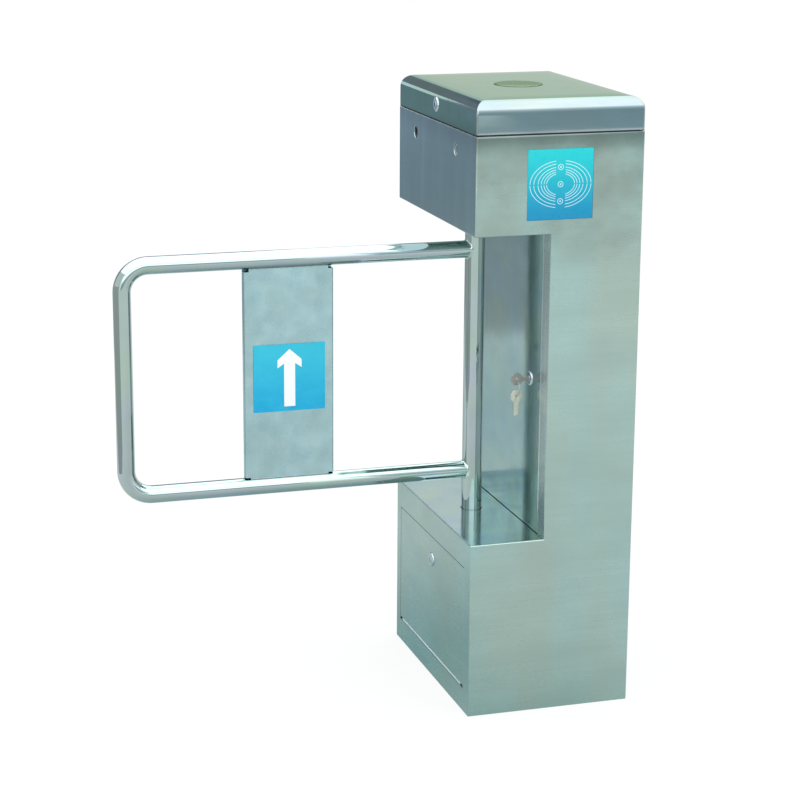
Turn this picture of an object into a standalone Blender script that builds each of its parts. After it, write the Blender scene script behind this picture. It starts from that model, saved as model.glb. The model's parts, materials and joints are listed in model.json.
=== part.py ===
"""Swing barrier gate: a stainless steel cabinet with a swinging tube gate, its drive, locks and sensors.

The frame: +X to the right along the front, +Y to the back, +Z up. The origin is on the floor, under
the middle of the cabinet. All lengths are in metres. The gate stands closed, along the front.
"""

import math

import bmesh
import bpy
from mathutils import Vector

# Cabinet
CABINET_WIDTH = 0.280
CABINET_DEPTH = 0.400
LOWER_BOX_HEIGHT = 0.294
NOTCH_HEIGHT = 0.503
NOTCH_WIDTH = 0.126
HEAD_HEIGHT = 0.158
SHEET = 0.002
FLANGE_WIDTH = 0.030
FLANGE_LIP = 0.012
COVER_DEPTH = 0.0077
COVER_CLEARANCE = 0.001

# Small fits
GAP = 0.0003
OVERRUN = 0.004

# Base plate
BASE_THICKNESS = 0.005
ANCHOR_RADIUS = 0.007
ANCHOR_INSET = 0.040
CABLE_ENTRY_X = 0.070
CABLE_ENTRY_Y = 0.080

# Lid
LID_SEAM = 0.0015
LID_HEIGHT = 0.0535
LID_EDGE_RADIUS = 0.020
LID_LOCK_RISE = 0.0245
SEAL_THICKNESS = 0.0009
SEAL_SIDE_GAP = 0.0002
TOP_DISC_RADIUS = 0.040
TOP_DISC_THICKNESS = 0.0012
TOP_DISC_BEVEL = 0.0006

# Lid hinge
LID_LEAF_THICKNESS = 0.0015
LID_LEAF_WIDTH = 0.024
LID_BARREL_RADIUS = 0.0029
LID_PIN_RADIUS = 0.0013
LID_HINGE_LENGTH = 0.240

# Lower door
DOOR_FRONT_MARGIN = 0.030
DOOR_REAR_MARGIN = 0.024
DOOR_TOP_MARGIN = 0.047
DOOR_HINGE_HEIGHT = 0.0415
DOOR_FOLD = 0.010
DOOR_CLEARANCE = 0.001
DOOR_LOCK_DROP = 0.040
DOOR_LEAF_THICKNESS = 0.0012
DOOR_LEAF_WIDTH = 0.014
DOOR_BARREL_RADIUS = 0.0020
DOOR_PIN_RADIUS = 0.0008
DOOR_HINGE_INSET = 0.014

# Post and gate
POST_FROM_LEFT = 0.070
POST_RADIUS = 0.017
POST_WALL = 0.002
POST_HOLE_CLEARANCE = 0.002
GATE_TUBE_RADIUS = 0.0145
GATE_TUBE_WALL = 0.0015
GATE_REACH = 0.590
GATE_BEND_RADIUS = 0.042
GATE_TOP_CLEARANCE = 0.0415
GATE_FLOOR_CLEARANCE = 0.0545
SIGN_PLATE_FROM_POST = 0.3195
SIGN_PLATE_WIDTH = 0.150
SIGN_PLATE_DEPTH = 0.014
SIGN_PLATE_SHEET = 0.0015
SIGN_PLATE_BEND = 0.003
RELIEF_WIDTH = 0.0090
TOP_RELIEF = 0.0048
BOTTOM_RELIEF = 0.0025
SIGN_WIDTH = 0.120
SIGN_HEIGHT = 0.112
SIGN_THICKNESS = 0.0015
SIGN_DROP = 0.007
ARROW_THICKNESS = 0.0004
ARROW_HEIGHT = 0.096
ARROW_WIDTH = 0.0405
ARROW_SHAFT_WIDTH = 0.0187
ARROW_HEAD_HEIGHT = 0.0315
ARROW_WING_HEIGHT = 0.0135
ARROW_NOTCH_DEPTH = 0.024

# Bearings and post drive
BEARING_FLANGE_RADIUS = 0.034
BEARING_FLANGE = 0.004
BEARING_BOSS_RADIUS = 0.026
BEARING_BOSS = 0.012
GEAR_MODULE = 0.002
GEAR_TEETH = 48
PINION_TEETH = 16
PRESSURE_ANGLE = math.radians(25)
ADDENDUM_SHARE = 0.8
DEDENDUM_SHARE = 1.25
GEAR_WIDTH = 0.010
GEAR_HOLE_RADIUS = 0.0065
STOP_HUB_RADIUS = 0.026
STOP_THICKNESS = 0.012
STOP_ARM_LENGTH = 0.047
STOP_ARM_WIDTH = 0.016
STOP_BUFFER_THICKNESS = 0.0025
STOP_BUFFER_LENGTH = 0.014
STOP_MARGIN = 0.0006
STOP_FINGER_REACH = 0.037
STOP_FINGER_WIDTH = 0.012
STOP_BAR_CLEARANCE = 0.001
STOP_BAR_WIDTH = 0.006

# Drive bridge, gearbox and motor
BRIDGE_WIDTH = 0.080
BRIDGE_SHEET = 0.004
BRIDGE_FOOT = 0.018
BRIDGE_SIDE_CLEARANCE = 0.009
BRIDGE_GEAR_CLEARANCE = 0.008
GEARBOX_RADIUS = 0.027
GEARBOX_HEIGHT = 0.034
GEARBOX_SHAFT_RADIUS = 0.005
GEARBOX_SHAFT_GRIP = 0.010
MOTOR_RADIUS = 0.024
MOTOR_HEIGHT = 0.044
MOTOR_CAP_RADIUS = 0.010
MOTOR_CAP = 0.004
LIMIT_DISC_RADIUS = 0.030
LIMIT_DISC_THICKNESS = 0.002
LIMIT_DISC_CUT = 0.006
LIMIT_DISC_CUT_ANGLE = math.radians(24)
SWITCH_PRONG = 0.0032
SWITCH_SLOT = 0.006
SWITCH_BACK = 0.007
SWITCH_REACH = 0.007
SWITCH_WIDTH = 0.012
SWITCH_CLEARANCE = 0.0006
POST_TOP_MARGIN = 0.010
POST_FOOT_MARGIN = 0.006

# Reader
READER_WINDOW_WIDTH = 0.110
READER_WINDOW_HEIGHT = 0.112
READER_BELOW_SEAM = 0.079
READER_WINDOW_BORDER = 0.006
READER_WINDOW_THICKNESS = 0.002
READER_DEPTH = 0.022
READER_BACK_INSET = 0.008

# Sensors
SENSOR_FRONT_FROM_MIDDLE = 0.100
SENSOR_REAR_FROM_MIDDLE = 0.110
SENSOR_BELOW_SEAM = 0.033
SENSOR_HOLE_RADIUS = 0.0095
SENSOR_FLANGE_RADIUS = 0.013
SENSOR_FLANGE = 0.003
SENSOR_BODY_RADIUS = 0.0085
SENSOR_LENGTH = 0.036
SENSOR_POCKET = 0.005

# Locks
LOCK_HEAD_RADIUS = 0.012
LOCK_HEAD = 0.0022
LOCK_HEAD_EDGE = 0.0010
LOCK_BARREL_RADIUS = 0.009
LOCK_PLUG_RADIUS = 0.006
LOCK_PLUG_CROWN = 0.0028
LOCK_NECK_RADIUS = 0.004
LOCK_SCREW_RADIUS = 0.0055
LOCK_SCREW_HEAD = 0.0015
LOCK_SLOT_WIDTH = 0.0026
LOCK_SLOT_HEIGHT = 0.0086
LOCK_SLOT_DEPTH = 0.0095
CAM_THICKNESS = 0.0025
CAM_HALF_WIDTH = 0.0075
LID_CAM_LENGTH = 0.032
DOOR_CAM_LENGTH = 0.048
COVER_CAM_LENGTH = 0.045
LONG_BARREL = 0.014
COVER_LOCK_FROM_EDGE = 0.048
COVER_CAM_CLEARANCE = 0.0003
CATCH_SHEET = 0.0015
CATCH_FOOT = 0.020
CATCH_WIDTH = 0.014
CATCH_STANDOFF = 0.005
CATCH_LIP = 0.013
CATCH_CAM_CLEARANCE = 0.0008
DOOR_CATCH_DROP = 0.0015

# Keys
KEY_THICKNESS = 0.0018
KEY_BOW_RADIUS = 0.0105
KEY_HOLE_RADIUS = 0.003
KEY_BLADE_WIDTH = 0.0078
KEY_LENGTH = 0.029
KEY_CUT_DEPTH = 0.0016
KEY_CUT_WIDTH = 0.003
KEY_CUTS = 3
KEY_RING_RADIUS = 0.0125
KEY_RING_WIRE = 0.0008
SPARE_KEY_LENGTH = 0.032

# Mounting rail and electrics in the column
RAIL_RISE = 0.240
RAIL_LENGTH = 0.180
RAIL_HEIGHT = 0.035
RAIL_DEPTH = 0.0075
RAIL_WEB_HEIGHT = 0.027
RAIL_SHEET = 0.001
SUPPLY_LENGTH = 0.070
SUPPLY_HEIGHT = 0.110
SUPPLY_DEPTH = 0.080
CONTROLLER_LENGTH = 0.090
CONTROLLER_HEIGHT = 0.090
CONTROLLER_DEPTH = 0.058
MODULE_SPACING = 0.004
STEP_SHARE = 0.7
FACE_SHARE = 0.5

# Cable gland
GLAND_BORE_RADIUS = 0.008
GLAND_THREAD_RADIUS = 0.0125
GLAND_FLANGE_RADIUS = 0.018
GLAND_FLANGE = 0.006
GLAND_DOME_RADIUS = 0.014
GLAND_DOME = 0.014

# Faceting
ROUND_SIDES = 32
SMALL_SIDES = 20
TUBE_SIDES = 24
EDGE_STEPS = 7
BEND_STEPS = 9
CORNER_STEPS = 4
SMOOTH_ANGLE = math.radians(35)

# Places worked out from the sizes above
left = -CABINET_WIDTH / 2
right = CABINET_WIDTH / 2
front = -CABINET_DEPTH / 2
back = CABINET_DEPTH / 2
head_floor = LOWER_BOX_HEIGHT + NOTCH_HEIGHT
seam = head_floor + HEAD_HEIGHT
lid_bottom = seam + LID_SEAM
lid_top = lid_bottom + LID_HEIGHT
wall_x = left + NOTCH_WIDTH
inner_left = left + SHEET + GAP
inner_right = right - SHEET - GAP
inner_front = front + SHEET + GAP
inner_back = back - SHEET - GAP
panel_left = left + SHEET
post_x = left + POST_FROM_LEFT
gate_upper = head_floor - GATE_TOP_CLEARANCE - GATE_TUBE_RADIUS
gate_lower = LOWER_BOX_HEIGHT + GATE_FLOOR_CLEARANCE + GATE_TUBE_RADIUS
gate_middle = (gate_upper + gate_lower) / 2
saddle_radius = POST_RADIUS + GAP

gear_pitch = GEAR_MODULE * GEAR_TEETH / 2
pinion_pitch = GEAR_MODULE * PINION_TEETH / 2
gear_tip = gear_pitch + ADDENDUM_SHARE * GEAR_MODULE
pinion_tip = pinion_pitch + ADDENDUM_SHARE * GEAR_MODULE
pinion_y = gear_pitch + pinion_pitch
floor_top = head_floor + SHEET
bearing_top = floor_top + GAP + BEARING_FLANGE + BEARING_BOSS
stop_bottom = bearing_top + GAP
gear_bottom = stop_bottom + STOP_THICKNESS + GAP
gear_top = gear_bottom + GEAR_WIDTH
bridge_bottom = gear_top + BRIDGE_GEAR_CLEARANCE
bridge_top = bridge_bottom + BRIDGE_SHEET
disc_bottom = bridge_top + GAP + SWITCH_PRONG + (SWITCH_SLOT - LIMIT_DISC_THICKNESS) / 2
post_top = disc_bottom + LIMIT_DISC_THICKNESS + POST_TOP_MARGIN
lower_bearing_top = LOWER_BOX_HEIGHT - SHEET - GAP
post_bottom = lower_bearing_top - BEARING_FLANGE - BEARING_BOSS - POST_FOOT_MARGIN

lid_hinge_x = right + GAP + LID_BARREL_RADIUS
lid_hinge_z = seam + LID_SEAM / 2
door_hinge_x = inner_left + DOOR_LEAF_THICKNESS - DOOR_BARREL_RADIUS
door_bottom = DOOR_HINGE_HEIGHT + DOOR_BARREL_RADIUS + 2 * GAP
door_top = LOWER_BOX_HEIGHT - DOOR_TOP_MARGIN
door_front = front + DOOR_FRONT_MARGIN
door_back = back - DOOR_REAR_MARGIN
door_lock_z = door_top - DOOR_LOCK_DROP
lid_lock_z = lid_bottom + LID_LOCK_RISE
cover_front = front + FLANGE_WIDTH + COVER_CLEARANCE
cover_back = back - FLANGE_WIDTH - COVER_CLEARANCE
cover_bottom = LOWER_BOX_HEIGHT + COVER_CLEARANCE
cover_top = head_floor - COVER_CLEARANCE
cover_lock_y = cover_front + COVER_LOCK_FROM_EDGE
cover_lock_z = LOWER_BOX_HEIGHT + NOTCH_HEIGHT / 2
lip_back = wall_x + COVER_DEPTH + GAP + SHEET
cover_barrel = lip_back + COVER_CAM_CLEARANCE - GAP - wall_x
key_tip_x = wall_x - LOCK_PLUG_CROWN + LOCK_SLOT_DEPTH - 2 * GAP
key_bow_x = key_tip_x - KEY_LENGTH
ring_slack = KEY_HOLE_RADIUS - KEY_RING_WIRE - GAP
ring_top_z = cover_lock_z - ring_slack

# Looks: colour, metallic, roughness
LOOKS = {
    "polished_steel": ((0.62, 0.68, 0.66), 1.0, 0.22),
    "brushed_steel": ((0.50, 0.55, 0.54), 1.0, 0.38),
    "zinc_steel": ((0.55, 0.56, 0.55), 1.0, 0.45),
    "chrome": ((0.80, 0.82, 0.82), 1.0, 0.10),
    "brass": ((0.78, 0.66, 0.38), 1.0, 0.30),
    "black_plastic": ((0.04, 0.04, 0.045), 0.0, 0.50),
    "grey_plastic": ((0.45, 0.47, 0.48), 0.0, 0.50),
    "rubber": ((0.03, 0.03, 0.035), 0.0, 0.80),
    "reader_blue": ((0.12, 0.66, 0.80), 0.0, 0.18),
    "sign_blue": ((0.14, 0.60, 0.80), 0.0, 0.30),
    "white_film": ((0.92, 0.94, 0.94), 0.0, 0.40),
    "motor_paint": ((0.10, 0.11, 0.12), 0.3, 0.45),
}

# Bodies: the parent body and a point on the axis that each turns about or slides along
BODIES = {
    "gate": (None, (post_x, 0, gate_middle)),
    "pinion": (None, (post_x, pinion_y, gear_bottom)),
    "lid": (None, (lid_hinge_x, 0, lid_hinge_z)),
    "door": (None, (door_hinge_x, (door_front + door_back) / 2, DOOR_HINGE_HEIGHT)),
    "cover": (None, (wall_x, 0, cover_lock_z)),
    "lid_lock_plug": ("lid", (left, 0, lid_lock_z)),
    "door_lock_plug": ("door", (left, 0, door_lock_z)),
    "cover_lock_plug": ("cover", (wall_x, cover_lock_y, cover_lock_z)),
    "key_ring": ("cover_lock_plug", (key_bow_x, cover_lock_y, ring_top_z)),
}

pivots = {}


def in_space(axis, u, v, along):
    """The point at (u, v) across an axis, in the order X, Y, Z, and at a distance along it."""
    return {"X": (along, u, v), "Y": (u, along, v), "Z": (u, v, along)}[axis]


def circle(radius, centre=(0, 0), sides=ROUND_SIDES, start=0):
    """Corners of a regular outline round a centre."""
    turns = [start + 2 * math.pi * k / sides for k in range(sides)]
    return [(centre[0] + radius * math.cos(t), centre[1] + radius * math.sin(t)) for t in turns]


def rectangle(low, high):
    return [(low[0], low[1]), (high[0], low[1]), (high[0], high[1]), (low[0], high[1])]


def rounded_rectangle(centre, half_width, half_height, radius):
    """A rectangle whose corners are arcs of the radius."""
    outline = []
    quarters = ((1, 1), (-1, 1), (-1, -1), (1, -1))
    for quarter, (across, up) in enumerate(quarters):
        x = centre[0] + across * (half_width - radius)
        y = centre[1] + up * (half_height - radius)
        for k in range(CORNER_STEPS + 1):
            turn = math.pi / 2 * (quarter + k / CORNER_STEPS)
            outline.append((x + radius * math.cos(turn), y + radius * math.sin(turn)))
    return outline


def clear_radius(radius, sides=ROUND_SIDES):
    """A bore that a round piece of this radius turns in: its flats clear the piece by the gap."""
    return (radius + GAP) / math.cos(math.pi / sides)


def plate(axis, start, end, outline, holes=()):
    """An outline with holes, given thickness along an axis."""
    bm = bmesh.new()
    for loop in (outline, *holes):
        corners = [bm.verts.new(in_space(axis, u, v, start)) for u, v in loop]
        for a, b in zip(corners, corners[1:] + corners[:1]):
            bm.edges.new((a, b))
    bmesh.ops.triangle_fill(bm, use_beauty=True, use_dissolve=False, edges=bm.edges[:])
    region = bmesh.ops.extrude_face_region(bm, geom=bm.faces[:])
    moved = [v for v in region["geom"] if isinstance(v, bmesh.types.BMVert)]
    bmesh.ops.translate(bm, verts=moved, vec=in_space(axis, 0, 0, end - start))
    bmesh.ops.recalc_face_normals(bm, faces=bm.faces[:])
    return bm


def box(low, high):
    return plate("Z", low[2], high[2], rectangle(low[:2], high[:2]))


def turned(profile, centre, axis="Z", sides=ROUND_SIDES):
    """A turned piece. The profile is (radius, distance along): from pole to pole, or round a ring."""
    bm = bmesh.new()
    rings = []
    for radius, along in profile:
        spots = circle(radius, sides=sides) if radius > 0 else [(0, 0)]
        rings.append([bm.verts.new(in_space(axis, u, v, along)) for u, v in spots])
    pairs = list(zip(rings, rings[1:]))
    if all(radius > 0 for radius, along in profile):
        pairs.append((rings[-1], rings[0]))
    for first, second in pairs:
        for k in range(sides):
            loop = [first[k % len(first)], first[(k + 1) % len(first)]]
            loop += [second[(k + 1) % len(second)], second[k % len(second)]]
            bm.faces.new(list(dict.fromkeys(loop)))
    bmesh.ops.translate(bm, verts=bm.verts[:], vec=centre)
    bmesh.ops.recalc_face_normals(bm, faces=bm.faces[:])
    return bm


def joined_rings(rings, closed=False):
    """A skin over rings of points, one after the other; closed joins the last ring to the first."""
    bm = bmesh.new()
    corners = [[bm.verts.new(p) for p in ring] for ring in rings]
    pairs = list(zip(corners, corners[1:]))
    if closed:
        pairs.append((corners[-1], corners[0]))
    for first, second in pairs:
        for k in range(len(first)):
            n = (k + 1) % len(first)
            bm.faces.new((first[k], first[n], second[n], second[k]))
    if not closed:
        bm.faces.new(corners[0])
        bm.faces.new(corners[-1])
    bmesh.ops.recalc_face_normals(bm, faces=bm.faces[:])
    return bm


def look_of(name, look):
    """A material of the piece's own."""
    colour, metallic, roughness = LOOKS[look]
    material = bpy.data.materials.new(name)
    material.use_nodes = True
    shader = material.node_tree.nodes["Principled BSDF"]
    shader.inputs["Base Color"].default_value = (*colour, 1)
    shader.inputs["Metallic"].default_value = metallic
    shader.inputs["Roughness"].default_value = roughness
    return material


def piece(name, bm, look, body=None):
    """A named object of the mesh, riding on its body's pivot."""
    anchor = Vector(BODIES[body][1]) if body else Vector((0, 0, 0))
    bmesh.ops.translate(bm, verts=bm.verts[:], vec=-anchor)
    mesh = bpy.data.meshes.new(name)
    bm.to_mesh(mesh)
    bm.free()
    mesh.shade_smooth()
    mesh.set_sharp_from_angle(angle=SMOOTH_ANGLE)
    thing = bpy.data.objects.new(name, mesh)
    bpy.context.collection.objects.link(thing)
    if look:
        mesh.materials.append(look_of(name, look))
    if body:
        thing.parent = pivots[body]
    return thing


def combine(target, tool_bm, operation, body=None):
    """Adds the tool's shape to the target, or takes it away."""
    tool = piece(target.name + "_tool", tool_bm, None, body)
    tool.hide_render = True
    tool.display_type = "WIRE"
    modifier = target.modifiers.new(operation.lower(), "BOOLEAN")
    modifier.operation = operation
    modifier.solver = "EXACT"
    modifier.object = tool


def cut(target, tool_bm, body=None):
    combine(target, tool_bm, "DIFFERENCE", body)


def rod(axis, centre, radius, start, end, sides=ROUND_SIDES):
    return plate(axis, start, end, circle(radius, centre, sides))


def folded_sheet(axis, start, end, face, depth, low, high):
    """A shallow tray section in X and Y: its face at -X, with both edges folded back by a depth."""
    outline = [
        (face, low),
        (face, high),
        (face + depth, high),
        (face + depth, high - SHEET),
        (face + SHEET, high - SHEET),
        (face + SHEET, low + SHEET),
        (face + depth, low + SHEET),
        (face + depth, low),
    ]
    return plate(axis, start, end, outline)


def make_pivots():
    for name, (parent, place) in BODIES.items():
        empty = bpy.data.objects.new(name + "_pivot", None)
        bpy.context.collection.objects.link(empty)
        origin = Vector(BODIES[parent][1]) if parent else Vector((0, 0, 0))
        empty.location = Vector(place) - origin
        if parent:
            empty.parent = pivots[parent]
        pivots[name] = empty


def make_cabinet():
    """Sheet metal panels that meet edge to edge."""
    c_shape = [
        (left, 0),
        (right, 0),
        (right, seam),
        (left, seam),
        (left, head_floor),
        (wall_x, head_floor),
        (wall_x, LOWER_BOX_HEIGHT),
        (left, LOWER_BOX_HEIGHT),
    ]
    half_width = READER_WINDOW_WIDTH / 2
    half_height = READER_WINDOW_HEIGHT / 2
    reader_z = seam - READER_BELOW_SEAM
    window = rectangle((-half_width, reader_z - half_height), (half_width, reader_z + half_height))
    piece("front_panel", plate("Y", front, front + SHEET, c_shape, [window]), "brushed_steel")
    piece("rear_panel", plate("Y", back - SHEET, back, c_shape), "brushed_steel")

    side = rectangle((inner_front, 0), (inner_back, seam))
    piece("right_side_panel", plate("X", right - SHEET, right, side), "brushed_steel")

    head_side = rectangle((inner_front, head_floor), (inner_back, seam))
    sensor_z = seam - SENSOR_BELOW_SEAM
    spots = (-SENSOR_FRONT_FROM_MIDDLE, SENSOR_REAR_FROM_MIDDLE)
    holes = [circle(SENSOR_HOLE_RADIUS, (y, sensor_z)) for y in spots]
    piece("head_side_panel", plate("X", left, panel_left, head_side, holes), "brushed_steel")

    post_hole = circle(POST_RADIUS + POST_HOLE_CLEARANCE, (post_x, 0))
    deck = rectangle((inner_left, inner_front), (wall_x + SHEET, inner_back))
    head_deck = plate("Z", head_floor, floor_top, deck, [post_hole])
    piece("head_floor_panel", head_deck, "brushed_steel")
    notch_deck = plate("Z", LOWER_BOX_HEIGHT - SHEET, LOWER_BOX_HEIGHT, deck, [post_hole])
    piece("notch_floor_panel", notch_deck, "polished_steel")

    lower_side = rectangle((inner_front, 0), (inner_back, LOWER_BOX_HEIGHT))
    opening_low = DOOR_HINGE_HEIGHT - DOOR_BARREL_RADIUS - 2 * GAP
    opening = rectangle(
        (door_front - DOOR_CLEARANCE, opening_low),
        (door_back + DOOR_CLEARANCE, door_top + DOOR_CLEARANCE),
    )
    frame = plate("X", left, panel_left, lower_side, [opening])
    piece("lower_side_frame", frame, "brushed_steel")

    base = rectangle((inner_left, inner_front), (inner_right, inner_back))
    anchor_x = CABINET_WIDTH / 2 - ANCHOR_INSET
    anchor_y = CABINET_DEPTH / 2 - ANCHOR_INSET
    corners = [(x, y) for x in (-anchor_x, anchor_x) for y in (-anchor_y, anchor_y)]
    base_holes = [circle(ANCHOR_RADIUS, spot, SMALL_SIDES) for spot in corners]
    entry = (CABLE_ENTRY_X, CABLE_ENTRY_Y)
    base_holes.append(circle(GLAND_THREAD_RADIUS + GAP, entry))
    piece("base_plate", plate("Z", 0, BASE_THICKNESS, base, base_holes), "zinc_steel")


def make_notch_wall():
    """Joggled flanges at the front and back of the notch's inner wall, and the cover between them."""
    low = LOWER_BOX_HEIGHT + GAP
    high = head_floor - GAP
    lip_front = wall_x + COVER_DEPTH + GAP
    for name, sign in (("notch_front_flange", 1), ("notch_rear_flange", -1)):
        edge = sign * inner_front
        step = sign * (front + FLANGE_WIDTH)
        outline = [
            (wall_x, edge),
            (wall_x, step),
            (lip_front, step),
            (lip_front, step + sign * FLANGE_LIP),
            (lip_back, step + sign * FLANGE_LIP),
            (lip_back, step - sign * SHEET),
            (wall_x + SHEET, step - sign * SHEET),
            (wall_x + SHEET, edge),
        ]
        piece(name, plate("Z", low, high, outline), "polished_steel")

    tray = folded_sheet("Z", cover_bottom, cover_top, wall_x, COVER_DEPTH, cover_front, cover_back)
    cover = piece("notch_cover", tray, "polished_steel", "cover")
    start = wall_x - OVERRUN
    end = wall_x + SHEET + OVERRUN
    hole = rod("X", (cover_lock_y, cover_lock_z), LOCK_BARREL_RADIUS + GAP, start, end)
    cut(cover, hole, "cover")


def lid_ring(inset, z):
    """A level rectangle of the lid, drawn in from the cabinet's outline."""
    low = (left + inset, front + inset)
    high = (right - inset, back - inset)
    return [(x, y, z) for x, y in rectangle(low, high)]


def make_lid():
    """A folded lid whose four top edges are rounded and meet at mitred corners."""
    edge_start = lid_top - LID_EDGE_RADIUS
    inner_radius = LID_EDGE_RADIUS - SHEET
    angles = [math.pi / 2 * k / EDGE_STEPS for k in range(EDGE_STEPS + 1)]
    outside = [lid_ring(0, lid_bottom)]
    inside = [lid_ring(SHEET, lid_bottom)]
    for angle in angles:
        draw_in = LID_EDGE_RADIUS * (1 - math.cos(angle))
        outside.append(lid_ring(draw_in, edge_start + LID_EDGE_RADIUS * math.sin(angle)))
        draw_in = SHEET + inner_radius * (1 - math.cos(angle))
        inside.append(lid_ring(draw_in, edge_start + inner_radius * math.sin(angle)))
    lid = piece("top_lid", joined_rings(inside[::-1] + outside), "brushed_steel", "lid")
    start = left - OVERRUN
    end = panel_left + OVERRUN
    cut(lid, rod("X", (0, lid_lock_z), LOCK_BARREL_RADIUS + GAP, start, end), "lid")

    disc_low = lid_top + GAP
    disc_high = disc_low + TOP_DISC_THICKNESS
    disc = [
        (0, disc_low),
        (TOP_DISC_RADIUS, disc_low),
        (TOP_DISC_RADIUS, disc_high - TOP_DISC_BEVEL),
        (TOP_DISC_RADIUS - TOP_DISC_BEVEL, disc_high),
        (0, disc_high),
    ]
    piece("lid_top_disc", turned(disc, (0, 0, 0)), "grey_plastic", "lid")

    outer = rectangle(
        (left + SEAL_SIDE_GAP, front + SEAL_SIDE_GAP),
        (right - SEAL_SIDE_GAP, back - SEAL_SIDE_GAP),
    )
    inner = rectangle(
        (panel_left - SEAL_SIDE_GAP, front + SHEET - SEAL_SIDE_GAP),
        (right - SHEET + SEAL_SIDE_GAP, back - SHEET + SEAL_SIDE_GAP),
    )
    seal_low = seam + GAP
    seal = plate("Z", seal_low, seal_low + SEAL_THICKNESS, outer, [inner])
    piece("lid_seal", seal, "rubber")


def leaf_outline(centre, radius, thickness, width, bore, face, up):
    """A hinge leaf's section in X and Z: a flat leaf that runs into its barrel, with the pin's bore.

    The face is the side of the barrel, -1 or 1, that the leaf lies flush with, and up is its way.
    """
    x, z = centre
    flat = x + face * radius
    other = flat - face * thickness
    join = math.acos((other - x) / radius * face)
    start = math.pi if face < 0 else 0
    sweep = 2 * math.pi - join
    steps = SMALL_SIDES
    outline = [(flat, z + up * width)]
    for k in range(steps + 1):
        turn = start - face * up * sweep * k / steps
        outline.append((x + radius * math.cos(turn), z + radius * math.sin(turn)))
    outline.append((other, z + up * width))
    return outline, circle(bore, centre, SMALL_SIDES)


def make_hinge(prefix, leaves, centre, sizes, span, face, knuckles):
    """A hinge along Y: two leaves with knuckles in turn, and a pin with a head at each end."""
    radius, thickness, width, pin_radius = sizes
    low, high = span
    step = (high - low) / knuckles
    x, z = centre
    reach = radius + OVERRUN
    bore = clear_radius(pin_radius, SMALL_SIDES)
    for (name, body, up), parity in zip(leaves, (1, 0)):
        outline, hole = leaf_outline(centre, radius, thickness, width, bore, face, up)
        leaf = piece(name, plate("Y", low, high, outline, [hole]), "zinc_steel", body)
        for k in range(parity, knuckles, 2):
            start = low + step * k - (GAP if k else OVERRUN)
            end = low + step * (k + 1) + (GAP if k < knuckles - 1 else OVERRUN)
            corner_low = (x - reach, start, z - radius - GAP)
            corner_high = (x + reach, end, z + radius + GAP)
            cut(leaf, box(corner_low, corner_high), body)
    head = radius - GAP
    pin = [
        (0, low - 2 * GAP - pin_radius),
        (head, low - 2 * GAP - pin_radius),
        (head, low - GAP),
        (pin_radius, low - GAP),
        (pin_radius, high + GAP),
        (head, high + GAP),
        (head, high + 2 * GAP + pin_radius),
        (0, high + 2 * GAP + pin_radius),
    ]
    pin_piece = turned(pin, (x, 0, z), "Y", SMALL_SIDES)
    piece(prefix + "_pin", pin_piece, "zinc_steel")


def make_hinges():
    lid_sizes = (LID_BARREL_RADIUS, LID_LEAF_THICKNESS, LID_LEAF_WIDTH, LID_PIN_RADIUS)
    lid_leaves = (("lid_hinge_lid_leaf", "lid", 1), ("lid_hinge_body_leaf", None, -1))
    half = LID_HINGE_LENGTH / 2
    make_hinge("lid_hinge", lid_leaves, (lid_hinge_x, lid_hinge_z), lid_sizes, (-half, half), -1, 5)
    door_sizes = (DOOR_BARREL_RADIUS, DOOR_LEAF_THICKNESS, DOOR_LEAF_WIDTH, DOOR_PIN_RADIUS)
    door_leaves = (("door_hinge_door_leaf", "door", 1), ("door_hinge_frame_leaf", None, -1))
    span = (door_front + DOOR_HINGE_INSET, door_back - DOOR_HINGE_INSET)
    centre = (door_hinge_x, DOOR_HINGE_HEIGHT)
    make_hinge("door_hinge", door_leaves, centre, door_sizes, span, 1, 5)


def make_door():
    tray = folded_sheet("Z", door_bottom, door_top, left, DOOR_FOLD, door_front, door_back)
    door = piece("lower_door", tray, "brushed_steel", "door")
    start = left - OVERRUN
    end = panel_left + OVERRUN
    cut(door, rod("X", (0, door_lock_z), LOCK_BARREL_RADIUS + GAP, start, end), "door")


def cam_outline(y, z, length, direction):
    """A bar with round ends, from the lock's axis out along a direction."""
    steps = SMALL_SIDES // 2
    spots = []
    for centre, start in ((length - CAM_HALF_WIDTH, -math.pi / 2), (0, math.pi / 2)):
        for k in range(steps + 1):
            turn = start + math.pi * k / steps
            along = centre + CAM_HALF_WIDTH * math.cos(turn)
            across = CAM_HALF_WIDTH * math.sin(turn)
            spots.append((y + along * direction[0] - across * direction[1],
                          z + along * direction[1] + across * direction[0]))
    return spots


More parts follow.
